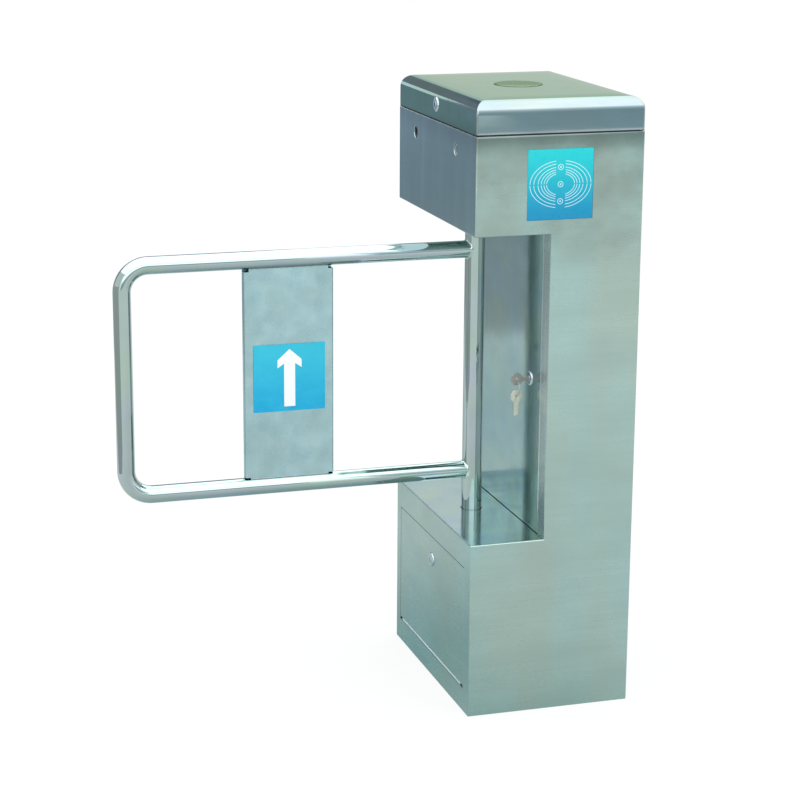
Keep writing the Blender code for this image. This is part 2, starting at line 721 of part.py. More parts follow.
def make_lock(prefix, carrier, face_x, place, barrel, cam_length, cam_direction):
    """A cam lock with its axis along X: housing, turning plug with key slot, and cam."""
    y, z = place
    outside = face_x - GAP
    barrel_end = face_x + barrel
    bore = clear_radius(LOCK_PLUG_RADIUS, SMALL_SIDES)
    housing = [
        (bore, outside - LOCK_HEAD),
        (LOCK_HEAD_RADIUS - 2 * LOCK_HEAD_EDGE, outside - LOCK_HEAD),
        (LOCK_HEAD_RADIUS, outside - LOCK_HEAD_EDGE),
        (LOCK_HEAD_RADIUS, outside),
        (LOCK_BARREL_RADIUS, outside),
        (LOCK_BARREL_RADIUS, barrel_end),
        (bore, barrel_end),
    ]
    centre = (0, y, z)
    piece(prefix + "_housing", turned(housing, centre, "X", SMALL_SIDES), "chrome", carrier)

    plug_body = prefix + "_plug"
    screw_start = barrel_end + CAM_THICKNESS + 2 * GAP
    plug = [
        (0, outside - LOCK_PLUG_CROWN),
        (LOCK_PLUG_RADIUS, outside - LOCK_PLUG_CROWN),
        (LOCK_PLUG_RADIUS, barrel_end),
        (LOCK_NECK_RADIUS, barrel_end),
        (LOCK_NECK_RADIUS, screw_start),
        (LOCK_SCREW_RADIUS, screw_start),
        (LOCK_SCREW_RADIUS, screw_start + LOCK_SCREW_HEAD),
        (0, screw_start + LOCK_SCREW_HEAD),
    ]
    plug_piece = piece(plug_body, turned(plug, centre, "X", SMALL_SIDES), "chrome", plug_body)
    slot_start = outside - LOCK_PLUG_CROWN
    half_width = LOCK_SLOT_WIDTH / 2
    half_height = LOCK_SLOT_HEIGHT / 2
    low = (slot_start - OVERRUN, y - half_width, z - half_height)
    high = (slot_start + LOCK_SLOT_DEPTH, y + half_width, z + half_height)
    cut(plug_piece, box(low, high), plug_body)

    cam_start = barrel_end + GAP
    outline = cam_outline(y, z, cam_length, cam_direction)
    hole = circle(LOCK_NECK_RADIUS + GAP, (y, z), SMALL_SIDES)
    cam = plate("X", cam_start, cam_start + CAM_THICKNESS, outline, [hole])
    piece(prefix + "_cam", cam, "zinc_steel", plug_body)


def make_locks():
    """The three locks stand unlocked. A quarter turn takes each cam behind its catch or lip."""
    make_lock("lid_lock", "lid", left, (0, lid_lock_z), LONG_BARREL, LID_CAM_LENGTH, (0, -1))
    make_lock("door_lock", "door", left, (0, door_lock_z), LONG_BARREL, DOOR_CAM_LENGTH, (-1, 0))
    place = (cover_lock_y, cover_lock_z)
    make_lock("cover_lock", "cover", wall_x, place, cover_barrel, COVER_CAM_LENGTH, (0, -1))

    cam_start = left + LONG_BARREL + GAP
    foot_x = inner_left + CATCH_SHEET
    web_x = foot_x + CATCH_STANDOFF
    shelf = seam - CATCH_FOOT / 2
    lip_z = lid_lock_z + CAM_HALF_WIDTH + CATCH_CAM_CLEARANCE
    lip_x = web_x + CATCH_LIP
    outline = [
        (inner_left, shelf - CATCH_FOOT),
        (foot_x, shelf - CATCH_FOOT),
        (foot_x, shelf - CATCH_SHEET),
        (web_x, shelf - CATCH_SHEET),
        (web_x, lip_z),
        (lip_x, lip_z),
        (lip_x, lip_z + CATCH_SHEET),
        (web_x - CATCH_SHEET, lip_z + CATCH_SHEET),
        (web_x - CATCH_SHEET, shelf),
        (inner_left, shelf),
    ]
    catch_start = LID_CAM_LENGTH - CATCH_WIDTH
    catch = plate("Y", catch_start, catch_start + CATCH_WIDTH, outline)
    piece("lid_catch", catch, "zinc_steel")

    lip_high = door_top + DOOR_CLEARANCE + CATCH_SHEET
    shelf = lip_high + CATCH_LIP
    lip_x = cam_start - GAP
    outline = [
        (inner_left, shelf),
        (lip_x - CATCH_SHEET, shelf),
        (lip_x - CATCH_SHEET, lip_high),
        (lip_x, lip_high),
        (lip_x, shelf + CATCH_SHEET),
        (foot_x, shelf + CATCH_SHEET),
        (foot_x, shelf + CATCH_FOOT),
        (inner_left, shelf + CATCH_FOOT),
    ]
    catch = plate("Y", -CATCH_WIDTH / 2, CATCH_WIDTH / 2, outline)
    piece("door_catch", catch, "zinc_steel")


def key_outline(length, cuts):
    """A flat key along +u: a round bow at the start, a blade with cuts on one side."""
    half = KEY_BLADE_WIDTH / 2
    corner = math.asin(half / KEY_BOW_RADIUS)
    steps = SMALL_SIDES
    outline = []
    for k in range(steps + 1):
        turn = corner + (2 * math.pi - 2 * corner) * k / steps
        outline.append((KEY_BOW_RADIUS * math.cos(turn), KEY_BOW_RADIUS * math.sin(turn)))
    outline.append((length, -half))
    outline.append((length, half))
    for k in range(cuts):
        high = length - KEY_CUT_WIDTH * (2 * k + 1)
        outline.append((high, half))
        outline.append((high - KEY_CUT_WIDTH / 2, half - KEY_CUT_DEPTH))
        outline.append((high - KEY_CUT_WIDTH, half))
    return outline


def make_keys():
    """One key in the cover's lock, and a spare that hangs from the ring through its bow."""
    half = KEY_THICKNESS / 2
    y = cover_lock_y
    hole = circle(KEY_HOLE_RADIUS, (key_bow_x, cover_lock_z), SMALL_SIDES)
    blade = [(key_bow_x + u, cover_lock_z + v) for u, v in key_outline(KEY_LENGTH, KEY_CUTS)]
    piece("key", plate("Y", y - half, y + half, blade, [hole]), "brass", "cover_lock_plug")

    ring_z = ring_top_z - KEY_RING_RADIUS
    section = circle(KEY_RING_WIRE, (KEY_RING_RADIUS, 0), SMALL_SIDES // 2)
    ring = turned(section, (key_bow_x, y, ring_z), "X", ROUND_SIDES)
    piece("key_ring", ring, "zinc_steel", "key_ring")

    hang_z = ring_z - KEY_RING_RADIUS - ring_slack
    hole = circle(KEY_HOLE_RADIUS, (key_bow_x, hang_z), SMALL_SIDES)
    spots = key_outline(SPARE_KEY_LENGTH, KEY_CUTS)
    blade = [(key_bow_x + v, hang_z - u) for u, v in spots]
    piece("spare_key", plate("Y", y - half, y + half, blade, [hole]), "brass", "key_ring")


def make_post():
    inner = POST_RADIUS - POST_WALL
    section = rectangle((inner, post_bottom), (POST_RADIUS, post_top))
    piece("post", turned(section, (post_x, 0, 0)), "polished_steel", "gate")


def tube_ring(centre, angle, radius, saddle):
    """A ring of the gate tube, square to its way along, or cut to fit the post's side."""
    ring = []
    for k in range(TUBE_SIDES):
        turn = 2 * math.pi * k / TUBE_SIDES
        across = radius * math.cos(turn)
        y = radius * math.sin(turn)
        x = centre[0] - across * math.sin(angle)
        z = centre[1] + across * math.cos(angle)
        if saddle:
            x = post_x - math.sqrt(saddle_radius ** 2 - y ** 2)
        ring.append((x, y, z))
    return ring


def make_gate():
    """A U-bent tube whose ends fit the post's side, and a folded sign plate between its two runs."""
    outer_x = post_x - GATE_REACH
    bend_x = outer_x + GATE_BEND_RADIUS
    route = [(post_x, gate_upper, math.pi, True)]
    for start, bend_z in ((0, gate_upper - GATE_BEND_RADIUS), (1, gate_lower + GATE_BEND_RADIUS)):
        for k in range(BEND_STEPS + 1):
            turn = math.pi / 2 * (start + k / BEND_STEPS)
            x = bend_x - GATE_BEND_RADIUS * math.sin(turn)
            z = bend_z + GATE_BEND_RADIUS * math.cos(turn)
            route.append((x, z, math.pi + turn, False))
    route.append((post_x, gate_lower, 2 * math.pi, True))
    inner = GATE_TUBE_RADIUS - GATE_TUBE_WALL
    outside = [tube_ring((x, z), angle, GATE_TUBE_RADIUS, cut_end) for x, z, angle, cut_end in route]
    inside = [tube_ring((x, z), angle, inner, cut_end) for x, z, angle, cut_end in route]
    tube = joined_rings(outside + inside[::-1], closed=True)
    piece("gate_tube", tube, "polished_steel", "gate")

    middle = post_x - SIGN_PLATE_FROM_POST
    edge = SIGN_PLATE_WIDTH / 2
    half = SIGN_PLATE_DEPTH / 2
    inner_half = half - SIGN_PLATE_SHEET
    inner_bend = SIGN_PLATE_BEND - SIGN_PLATE_SHEET
    reach = math.sqrt((GATE_TUBE_RADIUS + GAP) ** 2 - inner_half ** 2)
    low = gate_lower + reach
    high = gate_upper - reach
    skin = rounded_rectangle((middle, 0), edge, half, SIGN_PLATE_BEND)
    hollow = rounded_rectangle((middle, 0), edge - SIGN_PLATE_SHEET, inner_half, inner_bend)
    plate_piece = piece("sign_plate", plate("Z", low, high, skin, [hollow]), "brushed_steel", "gate")
    for sign in (-1, 1):
        near = middle + sign * (edge - RELIEF_WIDTH)
        far = middle + sign * (edge + OVERRUN)
        for start, end in ((low - OVERRUN, low + BOTTOM_RELIEF), (high - TOP_RELIEF, high + OVERRUN)):
            corner_low = (min(near, far), -half - OVERRUN, start)
            corner_high = (max(near, far), inner_half, end)
            cut(plate_piece, box(corner_low, corner_high), "gate")

    sign_z = gate_middle - SIGN_DROP
    sign_back = -half - GAP
    sign_front = sign_back - SIGN_THICKNESS
    low = (middle - SIGN_WIDTH / 2, sign_z - SIGN_HEIGHT / 2)
    high = (middle + SIGN_WIDTH / 2, sign_z + SIGN_HEIGHT / 2)
    sign = plate("Y", sign_front, sign_back, rectangle(low, high))
    piece("arrow_sign", sign, "sign_blue", "gate")

    tip = sign_z + ARROW_HEIGHT / 2
    foot = sign_z - ARROW_HEIGHT / 2
    wing_low = tip - ARROW_HEAD_HEIGHT
    wing_high = wing_low + ARROW_WING_HEIGHT
    throat = tip - ARROW_NOTCH_DEPTH
    half_shaft = ARROW_SHAFT_WIDTH / 2
    half_head = ARROW_WIDTH / 2
    arrow = [
        (middle, tip),
        (middle - half_head, wing_high),
        (middle - half_head, wing_low),
        (middle - half_shaft, throat),
        (middle - half_shaft, foot),
        (middle + half_shaft, foot),
        (middle + half_shaft, throat),
        (middle + half_head, wing_low),
        (middle + half_head, wing_high),
    ]
    arrow_back = sign_front - GAP
    film = plate("Y", arrow_back - ARROW_THICKNESS, arrow_back, arrow)
    piece("sign_arrow", film, "white_film", "gate")


def make_bearings():
    """Flanged bearings: one on the head floor, one hung under the notch floor."""
    bore = clear_radius(POST_RADIUS)
    stacks = (("upper_bearing", floor_top + GAP, 1), ("lower_bearing", lower_bearing_top, -1))
    for name, seat, way in stacks:
        step = seat + way * BEARING_FLANGE
        end = step + way * BEARING_BOSS
        section = [
            (bore, seat),
            (BEARING_FLANGE_RADIUS, seat),
            (BEARING_FLANGE_RADIUS, step),
            (BEARING_BOSS_RADIUS, step),
            (BEARING_BOSS_RADIUS, end),
            (bore, end),
        ]
        piece(name, turned(section, (post_x, 0, 0)), "zinc_steel")


def make_stops():
    """An arm clamped on the post, a rubber cap on it, and a bracket whose fingers end its swing."""
    reach = STOP_ARM_LENGTH
    half = STOP_ARM_WIDTH / 2
    high = stop_bottom + STOP_THICKNESS
    join = math.asin(half / STOP_HUB_RADIUS)
    outline = [(post_x - reach, half), (post_x - reach, -half)]
    for k in range(ROUND_SIDES + 1):
        turn = math.pi + join + (2 * math.pi - 2 * join) * k / ROUND_SIDES
        x = post_x + STOP_HUB_RADIUS * math.cos(turn)
        outline.append((x, STOP_HUB_RADIUS * math.sin(turn)))
    bore = circle(POST_RADIUS + GAP, (post_x, 0))
    piece("stop_arm", plate("Z", stop_bottom, high, outline, [bore]), "zinc_steel", "gate")

    tip = post_x - reach - GAP
    mouth = tip + STOP_BUFFER_LENGTH
    side = half + GAP
    outer = side + STOP_BUFFER_THICKNESS
    outline = [
        (mouth, -outer),
        (mouth, -side),
        (tip, -side),
        (tip, side),
        (mouth, side),
        (mouth, outer),
        (tip - STOP_BUFFER_THICKNESS, outer),
        (tip - STOP_BUFFER_THICKNESS, -outer),
    ]
    piece("stop_buffer", plate("Z", stop_bottom, high, outline), "rubber", "gate")

    finger_x = post_x + outer + STOP_MARGIN
    bar_near = post_x + BEARING_FLANGE_RADIUS + STOP_BAR_CLEARANCE
    bar_far = bar_near + STOP_BAR_WIDTH
    inner = STOP_FINGER_REACH
    end = inner + STOP_FINGER_WIDTH
    outline = [
        (finger_x, -end),
        (finger_x, -inner),
        (bar_near, -inner),
        (bar_near, inner),
        (finger_x, inner),
        (finger_x, end),
        (bar_far, end),
        (bar_far, -end),
    ]
    piece("stop_bracket", plate("Z", floor_top + GAP, high, outline), "zinc_steel")


def involute(angle):
    return math.tan(angle) - angle


def gear_outline(teeth, centre, turn):
    """A spur gear's outline: involute flanks, thinned by the gap for backlash."""
    pitch = GEAR_MODULE * teeth / 2
    base = pitch * math.cos(PRESSURE_ANGLE)
    tip = pitch + ADDENDUM_SHARE * GEAR_MODULE
    root = pitch - DEDENDUM_SHARE * GEAR_MODULE
    at_pitch = math.pi / (2 * teeth) - GAP / (2 * pitch)
    low = max(base, root)
    flank = [root] if root < base else []
    flank += [low, (low + tip) / 2, tip]
    halves = []
    for radius in flank:
        pressure = math.acos(min(base / radius, 1))
        halves.append((radius, at_pitch + involute(PRESSURE_ANGLE) - involute(pressure)))
    outline = []
    for k in range(teeth):
        middle = turn + 2 * math.pi * k / teeth
        corners = [(r, middle - half) for r, half in halves]
        corners += [(r, middle + half) for r, half in reversed(halves)]
        for radius, angle in corners:
            x = centre[0] + radius * math.cos(angle)
            outline.append((x, centre[1] + radius * math.sin(angle)))
    return outline


def make_gears():
    """The big gear is clamped on the post. The pinion stands in mesh behind it, on its shaft."""
    bore = circle(POST_RADIUS + GAP, (post_x, 0))
    outline = gear_outline(GEAR_TEETH, (post_x, 0), 0)
    ring = (POST_RADIUS + gear_pitch) / 2
    spots = circle(ring, (post_x, 0), 6)
    holes = [bore] + [circle(GEAR_HOLE_RADIUS, spot, SMALL_SIDES // 2) for spot in spots]
    gear = plate("Z", gear_bottom, gear_top, outline, holes)
    piece("drive_gear", gear, "zinc_steel", "gate")

    centre = (post_x, pinion_y)
    half_tooth = math.pi / PINION_TEETH
    outline = gear_outline(PINION_TEETH, centre, half_tooth)
    teeth = plate("Z", gear_bottom, gear_top, outline)
    pinion = piece("pinion", teeth, "zinc_steel", "pinion")
    middle = (gear_bottom + gear_top) / 2
    shaft_top = bridge_top + GAP + GEARBOX_SHAFT_GRIP
    shaft = rod("Z", centre, GEARBOX_SHAFT_RADIUS, middle, shaft_top, SMALL_SIDES)
    combine(pinion, shaft, "UNION", "pinion")


def make_drive_support():
    """A hat-shaped bridge over the gears that carries the gearbox, motor and photo switch."""
    front_leg = -gear_tip - BRIDGE_SIDE_CLEARANCE
    rear_leg = pinion_y + GEARBOX_RADIUS + BRIDGE_SHEET
    foot_low = floor_top + GAP
    foot_high = foot_low + BRIDGE_SHEET
    outline = [
        (front_leg - BRIDGE_FOOT, foot_low),
        (front_leg, foot_low),
        (front_leg, bridge_bottom),
        (rear_leg, bridge_bottom),
        (rear_leg, foot_low),
        (rear_leg + BRIDGE_FOOT, foot_low),
        (rear_leg + BRIDGE_FOOT, foot_high),
        (rear_leg + BRIDGE_SHEET, foot_high),
        (rear_leg + BRIDGE_SHEET, bridge_top),
        (front_leg - BRIDGE_SHEET, bridge_top),
        (front_leg - BRIDGE_SHEET, foot_high),
        (front_leg - BRIDGE_FOOT, foot_high),
    ]
    half = BRIDGE_WIDTH / 2
    bridge = plate("X", post_x - half, post_x + half, outline)
    bridge_piece = piece("drive_bridge", bridge, "zinc_steel")
    low = bridge_bottom - OVERRUN
    high = bridge_top + OVERRUN
    cut(bridge_piece, rod("Z", (post_x, 0), POST_RADIUS + POST_HOLE_CLEARANCE, low, high))
    shaft_hole = GEARBOX_SHAFT_RADIUS + POST_HOLE_CLEARANCE
    cut(bridge_piece, rod("Z", (post_x, pinion_y), shaft_hole, low, high, SMALL_SIDES))

    seat = bridge_top + GAP
    bore = clear_radius(GEARBOX_SHAFT_RADIUS, SMALL_SIDES)
    bore_end = seat + GEARBOX_SHAFT_GRIP + GAP
    gearbox_top = seat + GEARBOX_HEIGHT
    gearbox = [
        (0, bore_end + GAP),
        (bore, bore_end + GAP),
        (bore, seat),
        (GEARBOX_RADIUS, seat),
        (GEARBOX_RADIUS, gearbox_top),
        (0, gearbox_top),
    ]
    place = (post_x, pinion_y, 0)
    piece("gearbox", turned(gearbox, place), "zinc_steel")

    motor_low = gearbox_top + GAP
    motor_high = motor_low + MOTOR_HEIGHT
    motor = [
        (0, motor_low),
        (MOTOR_RADIUS, motor_low),
        (MOTOR_RADIUS, motor_high),
        (MOTOR_CAP_RADIUS, motor_high),
        (MOTOR_CAP_RADIUS, motor_high + MOTOR_CAP),
        (0, motor_high + MOTOR_CAP),
    ]
    piece("motor", turned(motor, place), "motor_paint")


def make_limit_switch():
    """A disc with a cut on the post's top, whose edge runs through a photo switch."""
    outline = []
    for k in range(ROUND_SIDES * 2):
        turn = 2 * math.pi * k / (ROUND_SIDES * 2)
        from_cut = abs(math.remainder(turn - math.pi, 2 * math.pi))
        radius = LIMIT_DISC_RADIUS
        if from_cut < LIMIT_DISC_CUT_ANGLE / 2:
            radius -= LIMIT_DISC_CUT
        outline.append((post_x + radius * math.cos(turn), radius * math.sin(turn)))
    bore = circle(POST_RADIUS + GAP, (post_x, 0))
    disc = plate("Z", disc_bottom, disc_bottom + LIMIT_DISC_THICKNESS, outline, [bore])
    piece("limit_disc", disc, "black_plastic", "gate")

    seat = bridge_top + GAP
    slot_low = seat + SWITCH_PRONG
    slot_high = slot_low + SWITCH_SLOT
    top = slot_high + SWITCH_PRONG
    tip = -LIMIT_DISC_RADIUS + SWITCH_REACH
    slot_end = -LIMIT_DISC_RADIUS - SWITCH_CLEARANCE
    rear = slot_end - SWITCH_BACK
    outline = [
        (rear, seat),
        (tip, seat),
        (tip, slot_low),
        (slot_end, slot_low),
        (slot_end, slot_high),
        (tip, slot_high),
        (tip, top),
        (rear, top),
    ]
    half = SWITCH_WIDTH / 2
    fork = plate("X", post_x - half, post_x + half, outline)
    piece("photo_switch", fork, "black_plastic")


def make_reader():
    """A flanged pane in the front panel's window, and the card reader behind it."""
    half_width = READER_WINDOW_WIDTH / 2 - GAP
    half_height = READER_WINDOW_HEIGHT / 2 - GAP
    z = seam - READER_BELOW_SEAM
    flange_front = front + SHEET + GAP
    flange_back = flange_front + READER_WINDOW_THICKNESS
    border = READER_WINDOW_BORDER + GAP
    stations = [
        (0, front),
        (0, flange_front),
        (border, flange_front),
        (border, flange_back),
    ]
    rings = []
    for grow, y in stations:
        low = (-half_width - grow, z - half_height - grow)
        high = (half_width + grow, z + half_height + grow)
        rings.append([(x, y, height) for x, height in rectangle(low, high)])
    piece("reader_window", joined_rings(rings), "reader_blue")

    reader_front = flange_back + GAP
    reader_back = reader_front + READER_DEPTH
    stations = [
        (0, reader_front),
        (0, (reader_front + reader_back) / 2),
        (-READER_BACK_INSET, reader_back),
    ]
    rings = []
    for grow, y in stations:
        low = (-half_width - grow, z - half_height - grow)
        high = (half_width + grow, z + half_height + grow)
        rings.append([(x, y, height) for x, height in rectangle(low, high)])
    piece("card_reader", joined_rings(rings), "black_plastic")


def make_sensors():
    """Flanged sensors on the inside of the head's left panel, each with a pocket at its lens."""
    z = seam - SENSOR_BELOW_SEAM
    flange = inner_left + SENSOR_FLANGE
    pocket = inner_left + SENSOR_POCKET
    end = inner_left + SENSOR_LENGTH
    pocket_radius = SENSOR_BODY_RADIUS - SHEET
    section = [
        (0, pocket),
        (pocket_radius, pocket),
        (pocket_radius, inner_left),
        (SENSOR_FLANGE_RADIUS, inner_left),
        (SENSOR_FLANGE_RADIUS, flange),
        (SENSOR_BODY_RADIUS, flange),
        (SENSOR_BODY_RADIUS, end),
        (0, end),
    ]
    spots = (("front", -SENSOR_FRONT_FROM_MIDDLE), ("rear", SENSOR_REAR_FROM_MIDDLE))
    for name, y in spots:
        sensor = turned(section, (0, y, z), "X", SMALL_SIDES)
        piece("sensor_" + name, sensor, "black_plastic")


def make_electrics():
    """A mounting rail on the right panel's inside, with the power supply and controller on it."""
    z = LOWER_BOX_HEIGHT + RAIL_RISE
    flat = inner_right
    web = flat - RAIL_DEPTH
    half = RAIL_HEIGHT / 2
    web_half = RAIL_WEB_HEIGHT / 2
    outline = [
        (web, z - half),
        (web, z - web_half),
        (flat - RAIL_SHEET, z - web_half),
        (flat - RAIL_SHEET, z + web_half),
        (web, z + web_half),
        (web, z + half),
        (web + RAIL_SHEET, z + half),
        (web + RAIL_SHEET, z + web_half + RAIL_SHEET),
        (flat, z + web_half + RAIL_SHEET),
        (flat, z - web_half - RAIL_SHEET),
        (web + RAIL_SHEET, z - web_half - RAIL_SHEET),
        (web + RAIL_SHEET, z - half),
    ]
    rail = plate("Y", -RAIL_LENGTH / 2, RAIL_LENGTH / 2, outline)
    piece("mounting_rail", rail, "zinc_steel")

    modules = (
        ("power_supply", SUPPLY_LENGTH, SUPPLY_HEIGHT, SUPPLY_DEPTH, "zinc_steel"),
        ("controller", CONTROLLER_LENGTH, CONTROLLER_HEIGHT, CONTROLLER_DEPTH, "grey_plastic"),
    )
    y = -(SUPPLY_LENGTH + MODULE_SPACING + CONTROLLER_LENGTH) / 2
    face = web - GAP
    for name, length, height, depth, look in modules:
        shoulder = face - depth * STEP_SHARE
        nose = face - depth
        tall = height / 2
        short = tall * FACE_SHARE
        outline = [
            (face, z - tall),
            (face, z + tall),
            (shoulder, z + tall),
            (shoulder, z + short),
            (nose, z + short),
            (nose, z - short),
            (shoulder, z - short),
            (shoulder, z - tall),
        ]
        piece(name, plate("Y", y, y + length, outline), look)
        y += length + MODULE_SPACING


def make_gland():
    seat = BASE_THICKNESS + GAP
    step = seat + GLAND_FLANGE
    top = step + GLAND_DOME
    section = [
        (GLAND_BORE_RADIUS, GAP),
        (GLAND_THREAD_RADIUS, GAP),
        (GLAND_THREAD_RADIUS, seat),
        (GLAND_FLANGE_RADIUS, seat),
        (GLAND_FLANGE_RADIUS, step),
        (GLAND_DOME_RADIUS, step),
        (GLAND_BORE_RADIUS + SHEET, top),
        (GLAND_BORE_RADIUS, top),
    ]
    gland = turned(section, (CABLE_ENTRY_X, CABLE_ENTRY_Y, 0))
    piece("cable_gland", gland, "black_plastic")


def main():
    for thing in list(bpy.data.objects):
        bpy.data.objects.remove(thing)
    make_pivots()
    make_cabinet()
    make_notch_wall()
    make_lid()
    make_hinges()
    make_door()
    make_locks()
    make_keys()
    make_post()
    make_gate()
    make_bearings()
    make_stops()
    make_gears()
    make_drive_support()
    make_limit_switch()
    make_reader()
    make_sensors()
    make_electrics()
    make_gland()


main()
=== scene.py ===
"""The looks of a swing barrier gate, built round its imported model.

Metres: +X to the right along the front, +Y to the back, +Z up, from the floor under the cabinet.
"""

import json
import math

import bmesh
import bpy
from mathutils import Matrix, Vector


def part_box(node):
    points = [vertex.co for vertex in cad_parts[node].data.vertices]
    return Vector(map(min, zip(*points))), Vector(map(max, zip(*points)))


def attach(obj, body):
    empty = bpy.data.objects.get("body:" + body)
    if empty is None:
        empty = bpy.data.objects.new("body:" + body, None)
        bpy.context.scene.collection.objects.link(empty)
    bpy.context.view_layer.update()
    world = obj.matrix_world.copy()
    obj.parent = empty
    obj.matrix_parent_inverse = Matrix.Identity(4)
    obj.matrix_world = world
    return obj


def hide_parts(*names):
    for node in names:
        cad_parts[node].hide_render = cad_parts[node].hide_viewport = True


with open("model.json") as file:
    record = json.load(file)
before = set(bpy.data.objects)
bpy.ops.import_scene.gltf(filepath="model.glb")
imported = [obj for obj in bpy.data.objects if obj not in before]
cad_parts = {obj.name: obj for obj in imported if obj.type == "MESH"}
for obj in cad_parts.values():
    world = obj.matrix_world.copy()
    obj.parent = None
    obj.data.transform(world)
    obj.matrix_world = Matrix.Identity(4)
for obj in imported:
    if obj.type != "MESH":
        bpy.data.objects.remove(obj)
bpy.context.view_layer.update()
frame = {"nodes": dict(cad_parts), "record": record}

# Camera, with its place in metres and its focal length in pixels of the square image
CAMERA_PLACE = (-1.2531, -3.4072, 1.4207)
CAMERA_TURN = math.radians(17.028)
CAMERA_DIP = math.radians(14.436)
CAMERA_ROLL = math.radians(0.333)
FOCAL_PIXELS = 2215.9
IMAGE_PIXELS = 787
SENSOR_MILLIMETRES = 36

# Studio
STUDIO_HALF = 14.0
FLOOR_GLOW = 0.78
FLOOR_PAINT = 0.24
LAMP_HEIGHT = 2.6
LAMP_SIZE = 1.8
LAMP_WATTS = 9.0
LAMP_LEAN = 0.6
WALL_FOOT = (0.40, 0.45, 0.475)
WALL_SHADE = (0.31, 0.39, 0.46)
WALL_HEAD = (0.38, 0.48, 0.60)
DEEP_SHADE = (0.23, 0.26, 0.37)
LAVENDER = (0.43, 0.42, 0.52)
DARK_FLAG = (0.47, 0.63, 0.68)
LOW_FLAG = (0.50, 0.60, 0.64)
PALE = (1.0, 1.0, 1.0)
FOOT_TONE = (0.36, 0.37, 0.38, 1)
POOL_TONE = (0.20, 0.40, 0.44, 1)

# Dim pools that reflections show on the floor: centre, reach, depth and tone
FLOOR_POOLS = (
    ((0.0, -0.8), (2.3, 1.9), 0.36, FOOT_TONE),
    ((-0.6, 1.7), (1.6, 1.8), 0.66, POOL_TONE),
    ((-0.25, 0.13), (0.9, 0.9), 0.97, POOL_TONE),
)

# The room that the steel mirrors, as upright cards: start and end on the floor, lean of the end
# along X from bottom to top, and stops of height and light
ROOM_CARDS = {
    "back_left_card": ((-3.4, 2.46), (0.25, 2.46), 0, (
        (0.0, WALL_FOOT), (0.24, WALL_FOOT), (0.36, WALL_SHADE), (0.57, WALL_SHADE),
        (0.63, WALL_HEAD), (0.9, WALL_HEAD), (1.1, LAVENDER), (1.9, LAVENDER), (2.0, DEEP_SHADE),
        (2.2, DEEP_SHADE), (2.35, (1.1, 1.08, 1.2)), (3.0, (1.5, 1.45, 1.6)))),
    "back_left_light": ((-1.0, 2.40), (-0.5, 2.40), 0, (
        (1.0, (1.6, 1.7, 1.8)), (1.35, (1.6, 1.7, 1.8)))),
    "left_card": ((-1.9, -1.0), (-1.9, 2.4), 0, (
        (0.0, (0.52, 0.53, 0.53)), (0.8, (0.60, 0.60, 0.62)))),
    "front_wall_card": ((-5.0, -5.0), (6.0, -5.0), 0, (
        (0.0, (1.2, 1.2, 1.2)), (1.2, (1.85, 1.85, 1.9)), (3.2, (2.6, 2.6, 2.65)))),
    "front_dark_card": ((0.85, -3.8), (3.0, -3.8), 0, (
        (0.35, DARK_FLAG), (0.72, DARK_FLAG), (1.3, (0.62, 0.78, 0.82)), (2.2, (1.15, 1.28, 1.32)),
        (2.8, (1.8, 1.8, 1.85)), (3.2, (2.7, 2.7, 2.75)))),
    "lid_corner_light": ((0.98, -3.78), (1.24, -3.78), -0.08, (
        (0.42, (0.60, 0.76, 0.78)), (0.47, (0.72, 0.88, 0.88)), (0.62, (1.0, 1.15, 1.15)))),
    "front_low_card": ((-3.0, -3.8), (0.6, -3.8), 0, (
        (0.20, LOW_FLAG), (0.75, LOW_FLAG), (1.15, (1.8, 1.85, 1.9)), (1.35, (3.0, 2.7, 2.7)),
        (1.7, (2.4, 2.25, 2.3)), (2.3, (1.9, 1.9, 2.0)), (3.2, (2.6, 2.6, 2.65)))),
    "back_card": ((0.3, 4.6), (5.0, 4.6), 0, (
        (2.05, (1.05, 1.08, 1.3)), (3.2, (1.2, 1.2, 1.4)))),
}
CEILING_LOW = (-4.0, -5.0)
CEILING_HIGH = (4.0, 4.0)
CEILING_HEIGHT = 3.2
CEILING_LIGHT = 2.6

# Edges and meshing. A side is at least SIDE_ROOM times as long as the reach of a corner's rounding.
TOUCH = 0.0003
OVERRUN = 0.004
SAME = 0.00002
FLAT_ANGLE = math.radians(0.6)
CREASE_ANGLE = math.radians(32)
FINE_SIDES = 64
SMALL_SIDES = 24
ARC_STEPS = 5
EDGE_STEPS = 3
SHEET_EDGE = 0.00035
PART_EDGE = 0.0005
CASE_EDGE = 0.0010
KEY_EDGE = 0.00036
FILM_EDGE = 0.00012
SIDE_ROOM = 2.02
FLAT_WEIGHT = 80

# Sheet work
BEND_RADIUS = 0.0019
DOOR_BEND_RADIUS = 0.0008
BEND_STEPS = 6
LID_EDGE_RADIUS = 0.020
LID_CORNER_RADIUS = 0.0028
LID_EDGE_STEPS = 14
LID_RIM = 0.0009
LID_BULGE = 0.00008
LID_WALL_STEPS = 8
LIP_LEAN = 0.0009
LIP_HEIGHT = 0.0034
LIP_DROP = 0.0008
LID_CROWN = 0.0010
LID_CROWN_WIDTH = 0.034
DISC_BEVEL = 0.0040
HOLE_RIM = 0.0017
SENSOR_RADIUS = 0.0095
POST_HOLE_MARGIN = 0.0012

# Reader pane
ARC_HALF_WIDTHS = (0.0510, 0.0446, 0.0376, 0.0323, 0.0276, 0.0234)
ARC_HEIGHT_SHARE = 0.725
ARC_LINE = 0.0011
ARC_FILM = 0.00016
ARC_COLUMN_HALF = 0.0080
ARC_SPLIT_HALF = 0.0008
ARC_POINTS = 20
MARK_RADIUS = 0.0042
MARK_DOT_RADIUS = 0.0014
MARK_SPACING = 0.0270

